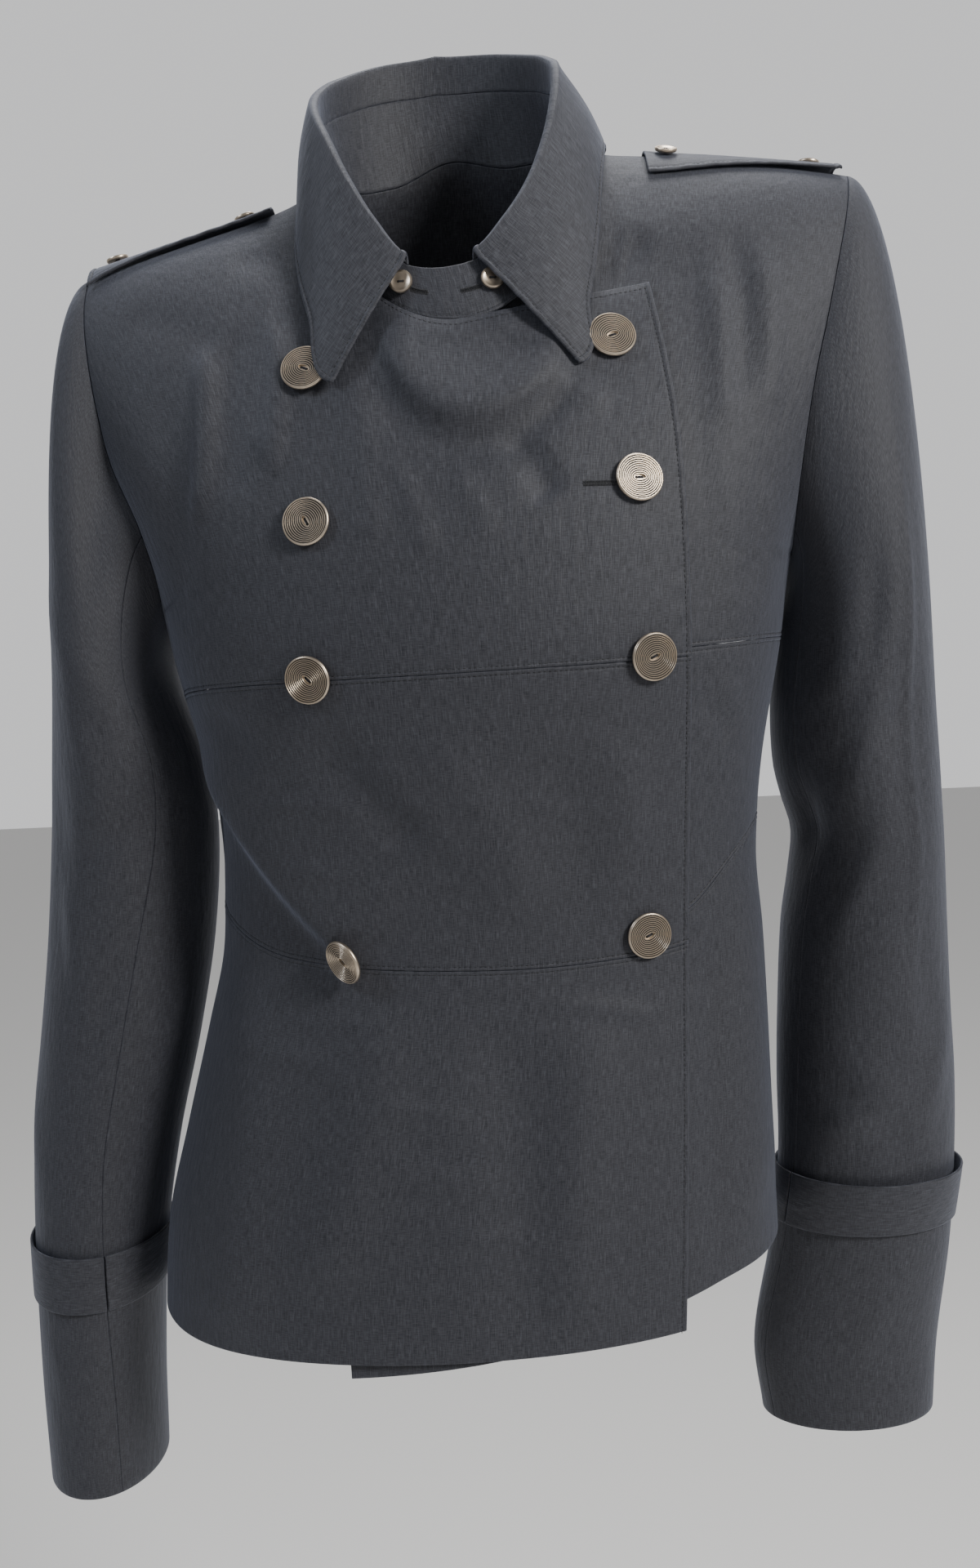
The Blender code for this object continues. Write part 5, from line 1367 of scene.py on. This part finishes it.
top, thick = BUTTON_FOOT + BUTTON_THICK, BUTTON_THICK
slot_oval = (SLOT_HALF_LENGTH, SLOT_HALF_WIDTH)
large_profile = (
    (0.0026, 0.0), (0.0026, BUTTON_FOOT), (LARGE_RADIUS * 0.93, BUTTON_FOOT),
    (LARGE_RADIUS * 0.985, BUTTON_FOOT + thick * 0.25), (LARGE_RADIUS, BUTTON_FOOT + thick * 0.60),
    (LARGE_RADIUS * 0.975, BUTTON_FOOT + thick * 0.88), (LARGE_RADIUS * 0.92, top - 0.0001),
    (LARGE_RADIUS * 0.75, top - 0.00035), (LARGE_RADIUS * 0.45, top - 0.0006),
    (0, top - 0.0008), (0, top - SLOT_DEPTH))
large_ovals = (None,) * 9 + (slot_oval, slot_oval)
large_turned = turned_mesh("large_button_turned", large_profile, large_ovals, 64, button_materials,
                           (THREAD,) + (GOLD,) * 5 + (DARK,) * 3 + (GOLD,) * 2)
large_body = joined_mesh("large_button_body", [
    large_turned, *sewn_centre(HOLE_APART, top - SLOT_DEPTH, HOLE_SIZE, LARGE_STRANDS)])
rings = ring_tree()
large_button = made_by(rings, large_body, {
    "Rings": RING_COUNT, "Slot half length": SLOT_HALF_LENGTH + 0.0002,
    "Slot half width": SLOT_HALF_WIDTH + 0.0002, "Rim radius": LARGE_RADIUS * 0.93,
    "Centre height": top - 0.0008, "Rim height": top - 0.0001, "Wire": RING_WIRE, "Metal": old_gold})
button_places = []
for name, x, z, slot_turn, tip_right, tip_up in LARGE_BUTTONS:
    point, normal = front_place(x, z)
    button_places.append(seated(button_matrix(point, normal, slot_turn, tip_right, tip_up), normal))
place_buttons("large_buttons", large_button, button_places, [row[0] for row in LARGE_BUTTONS])


# Small buttons: plain two-hole metal buttons with a dished face, two on the collar stand and one
# at each end of the shoulder straps, sewn on with dark thread.
SMALL_RADIUS = 0.0060
SMALL_THICK = 0.0020
SMALL_HOLE_APART = 0.0012
# Half sizes of each flat dark disc of painted shade that stands for a small button's hole
SMALL_HOLE_SIZE = (0.0007, 0.0007, 0.00006)
SMALL_DISH = 0.0007
# Strands of thread over the dish, in the same columns
SMALL_STRANDS = (
    (-0.00022, 0.0, (0.0013, 0.00026, 0.0004)),
    (0.00026, 0.0, (0.0014, 0.00026, 0.0004)),
)
STAND_BUTTON_ANGLES = (("button_stand_right", -21.5), ("button_stand_left", 20.5))
# Shoulder buttons: name, side, across, share across the strap's half width
SHOULDER_BUTTONS = (
    ("button_shoulder_right_in", -1, -0.117, 0.0),
    ("button_shoulder_right_out", -1, -0.186, 0.0),
    ("button_shoulder_left_in", 1, 0.108, -0.25),
    ("button_shoulder_left_out", 1, 0.186, 0.0),
)
small_top = BUTTON_FOOT + SMALL_THICK
small_profile = (
    (0.0014, 0.0), (0.0014, BUTTON_FOOT), (SMALL_RADIUS * 0.90, BUTTON_FOOT),
    (SMALL_RADIUS * 0.98, BUTTON_FOOT + SMALL_THICK * 0.3), (SMALL_RADIUS, BUTTON_FOOT + SMALL_THICK * 0.6),
    (SMALL_RADIUS * 0.95, small_top - 0.0001), (SMALL_RADIUS * 0.86, small_top),
    (SMALL_RADIUS * 0.74, small_top - 0.0002), (SMALL_RADIUS * 0.60, small_top - 0.0006),
    (SMALL_RADIUS * 0.30, small_top - SMALL_DISH), (SMALL_RADIUS * 0.05, small_top - SMALL_DISH))
small_turned = turned_mesh("small_button_turned", small_profile, (None,) * 11, 40, button_materials,
                           (THREAD,) + (GOLD,) * 10)
small_button = joined_mesh("small_button", [
    small_turned, *sewn_centre(SMALL_HOLE_APART, small_top - SMALL_DISH, SMALL_HOLE_SIZE, SMALL_STRANDS)])
small_places = []
for name, angle in STAND_BUTTON_ANGLES:
    over = angle + 360.0
    point = stand_point(over, 0.5, 2 * HALF_SEAM)
    across = stand_point(over + 2, 0.5) - stand_point(over - 2, 0.5)
    upward = stand_point(over, 1.0) - stand_point(over, 0.0)
    small_places.append(button_matrix(point, np.cross(across, upward)))
for name, side, x, aside in SHOULDER_BUTTONS:
    inner_x, outer_x = (end[0] for end in SHOULDER_STRAPS[side][:2])
    share = (x - inner_x) / (outer_x - inner_x)
    along = strap_point(side, share + 0.06, aside) - strap_point(side, share - 0.06, aside)
    over = strap_point(side, share, aside + 0.3) - strap_point(side, share, aside - 0.3)
    normal = unit(np.cross(along, over)) * side
    small_places.append(button_matrix(strap_point(side, share, aside) + normal * 2 * HALF_SEAM, normal))
place_buttons("small_buttons", small_button, small_places,
              [row[0] for row in STAND_BUTTON_ANGLES + SHOULDER_BUTTONS])


# Sewing: dark matching thread in short even stitches, coloured darker than the cloth as painted shade of the
# pits that the stitches sink into; one row on each side of the body seams and one inside the front edge, the
# edges of the collar and the shoulder straps, and the neck seam.
STITCH_PITCH = 0.0026
STITCH_LENGTH = 0.0020
STITCH_WIDTH = 0.00050
STITCH_HEIGHT = 0.00034


def line_beside(node, border, distance, start_off, end_off):
    """Points and normals of a line that runs beside a border of a sewn face."""
    points, normals = sewn_faces[node]
    if border in ("first", "last"):
        points, normals = points.swapaxes(0, 1), normals.swapaxes(0, 1)
    if border in ("top", "last"):
        points, normals = points[::-1], normals[::-1]
    reach = np.cumsum(np.linalg.norm(np.diff(points, axis=0, prepend=points[:1]), axis=-1), axis=0)
    row = np.maximum(np.argmax(reach >= distance, axis=0), 1)
    column = np.arange(points.shape[1])
    low, high = reach[row - 1, column], reach[row, column]
    share = ((distance - low) / (high - low))[:, None]
    line = mix(points[row - 1, column], points[row, column], share)
    line_normals = unit(mix(normals[row - 1, column], normals[row, column], share))
    run = np.cumsum(np.linalg.norm(np.diff(line, axis=0, prepend=line[:1]), axis=-1))
    places = np.linspace(start_off, run[-1] - end_off, max(int(run[-1] / 0.002), 2))
    line = np.stack([np.interp(places, run, line[:, k]) for k in range(3)], axis=-1)
    line_normals = unit(np.stack([np.interp(places, run, line_normals[:, k]) for k in range(3)], axis=-1))
    return line, line_normals


def stitch_tree():
    """One stitch at every pitch along the lines, laid along them and flat on the cloth."""
    tree, given, result = new_tree("row_of_stitches", (
        ("Pitch", "Float"), ("Stitch size", "Vector"), ("Thread", "Material")))
    curve = tree.nodes.new("GeometryNodeMeshToCurve")
    link(tree, given.outputs["Geometry"], curve.inputs["Mesh"])
    spaced = tree.nodes.new("GeometryNodeResampleCurve")
    spaced.mode = "LENGTH"
    link(tree, curve.outputs["Curve"], spaced.inputs["Curve"])
    link(tree, given.outputs["Pitch"], spaced.inputs["Length"])
    stitch = tree.nodes.new("GeometryNodeMeshUVSphere")
    stitch.inputs["Segments"].default_value = 6
    stitch.inputs["Rings"].default_value = 3
    stitch.inputs["Radius"].default_value = 0.5
    sized = tree.nodes.new("GeometryNodeTransform")
    link(tree, stitch.outputs["Mesh"], sized.inputs["Geometry"])
    link(tree, given.outputs["Stitch size"], sized.inputs["Scale"])
    axes = tree.nodes.new("FunctionNodeAxesToRotation")
    axes.primary_axis = "Z"
    axes.secondary_axis = "X"
    for label, socket in (("outward", "Primary Axis"), ("along", "Secondary Axis")):
        attribute = tree.nodes.new("GeometryNodeInputNamedAttribute")
        attribute.data_type = "FLOAT_VECTOR"
        attribute.inputs["Name"].default_value = label
        link(tree, attribute.outputs["Attribute"], axes.inputs[socket])
    copies = tree.nodes.new("GeometryNodeInstanceOnPoints")
    link(tree, spaced.outputs["Curve"], copies.inputs["Points"])
    link(tree, sized.outputs["Geometry"], copies.inputs["Instance"])
    link(tree, axes.outputs["Rotation"], copies.inputs["Rotation"])
    real = tree.nodes.new("GeometryNodeRealizeInstances")
    link(tree, copies.outputs["Instances"], real.inputs["Geometry"])
    paint = tree.nodes.new("GeometryNodeSetMaterial")
    link(tree, real.outputs["Geometry"], paint.inputs["Geometry"])
    link(tree, given.outputs["Thread"], paint.inputs["Material"])
    link(tree, paint.outputs["Geometry"], result.inputs["Geometry"])
    return tree


def sew(name, lines, pitch, size):
    """Piece of stitches along lines of (points, normals, directions)."""
    points = np.concatenate([line[0] for line in lines])
    starts = np.cumsum([0] + [len(line[0]) for line in lines])
    edges = [(k, k + 1) for low, high in zip(starts[:-1], starts[1:]) for k in range(low, high - 1)]
    mesh = bpy.data.meshes.new(name + "_lines")
    mesh.from_pydata(points.tolist(), edges, [])
    for label, part in (("outward", 1), ("along", 2)):
        attribute = mesh.attributes.new(label, "FLOAT_VECTOR", "POINT")
        values = np.concatenate([line[part] for line in lines])
        attribute.data.foreach_set("vector", values.astype(np.float32).ravel())
    made = made_by(sewing, mesh, {"Pitch": pitch, "Stitch size": size, "Thread": dark_thread_and_painted_shade})
    made.shade_smooth()
    return finish_piece(name, made, [], [])


sewing = stitch_tree()
# Near-black thread: the thread's own dark colour plus painted shade of the stitch pits; the dark strips of
# painted shade in the buttonhole slits use it too
dark_thread_and_painted_shade = plain_material("dark_thread_and_painted_shade", (0.0050, 0.0052, 0.0070, 1.0), 0.6, 0.0)
stitch_lines = []
for node, border, distance, start_off, end_off in sewn_borders:
    line, line_normals = line_beside(node, border, distance, start_off, end_off)
    stitch_lines.append((line, line_normals, unit(np.gradient(line, axis=0))))
sew("topstitching", stitch_lines, STITCH_PITCH, (STITCH_LENGTH, STITCH_WIDTH, STITCH_HEIGHT))


# Buttonholes: straight worked holes in the outer front and in the collar stand, seen where the buttons
# leave them open: the slit is a dark strip of painted shade, with dense short stitches along its two sides.
HOLE_STITCH_PITCH = 0.00055
HOLE_STITCH = (0.0015, 0.00045, 0.00035)
# Size and pitch of the dark strips of painted shade laid along the middle of each slit
SLIT_SHADE_SIZE = (0.0020, 0.00050, 0.00020)
SLIT_SHADE_PITCH = 0.0012
OVERCAST_APART = 0.00085
SEWN_ABOVE = 0.0001
HOLE_POINTS = 24
# Buttonholes of the front: from across, to across, height
FRONT_HOLES = (
    (0.0520, 0.0690, -0.1672),
)
# Buttonholes of the stand: from angle, to angle
STAND_HOLES = ((-17.0, -9.5), (6.0, 15.0))
hole_lines = []
for start_x, end_x, height in FRONT_HOLES:
    across = np.linspace(start_x, end_x, HOLE_POINTS)
    hole_lines.append(front_place(across, np.full(HOLE_POINTS, height)))
for start_angle, end_angle in STAND_HOLES:
    angles = 360.0 + np.linspace(start_angle, end_angle, HOLE_POINTS)
    hole_line = stand_point(angles, 0.5, HALF_SEAM)
    hole_lines.append((hole_line, outward_at(angles)))
slit_shades, overcast = [], []
for hole_line, hole_normals in hole_lines:
    along = unit(np.gradient(hole_line, axis=0))
    upward = unit(np.cross(hole_normals, along))
    # The slit itself: a row of dark strips, painted shade of the cut's opening
    slit_shades.append((hole_line + hole_normals * SEWN_ABOVE, hole_normals, along))
    for shift in (-OVERCAST_APART, OVERCAST_APART):
        overcast.append((hole_line + upward * shift + hole_normals * SEWN_ABOVE, hole_normals, upward))
sew("buttonhole_slits", slit_shades, SLIT_SHADE_PITCH, SLIT_SHADE_SIZE)
sew("buttonhole_stitches", overcast, HOLE_STITCH_PITCH, HOLE_STITCH)
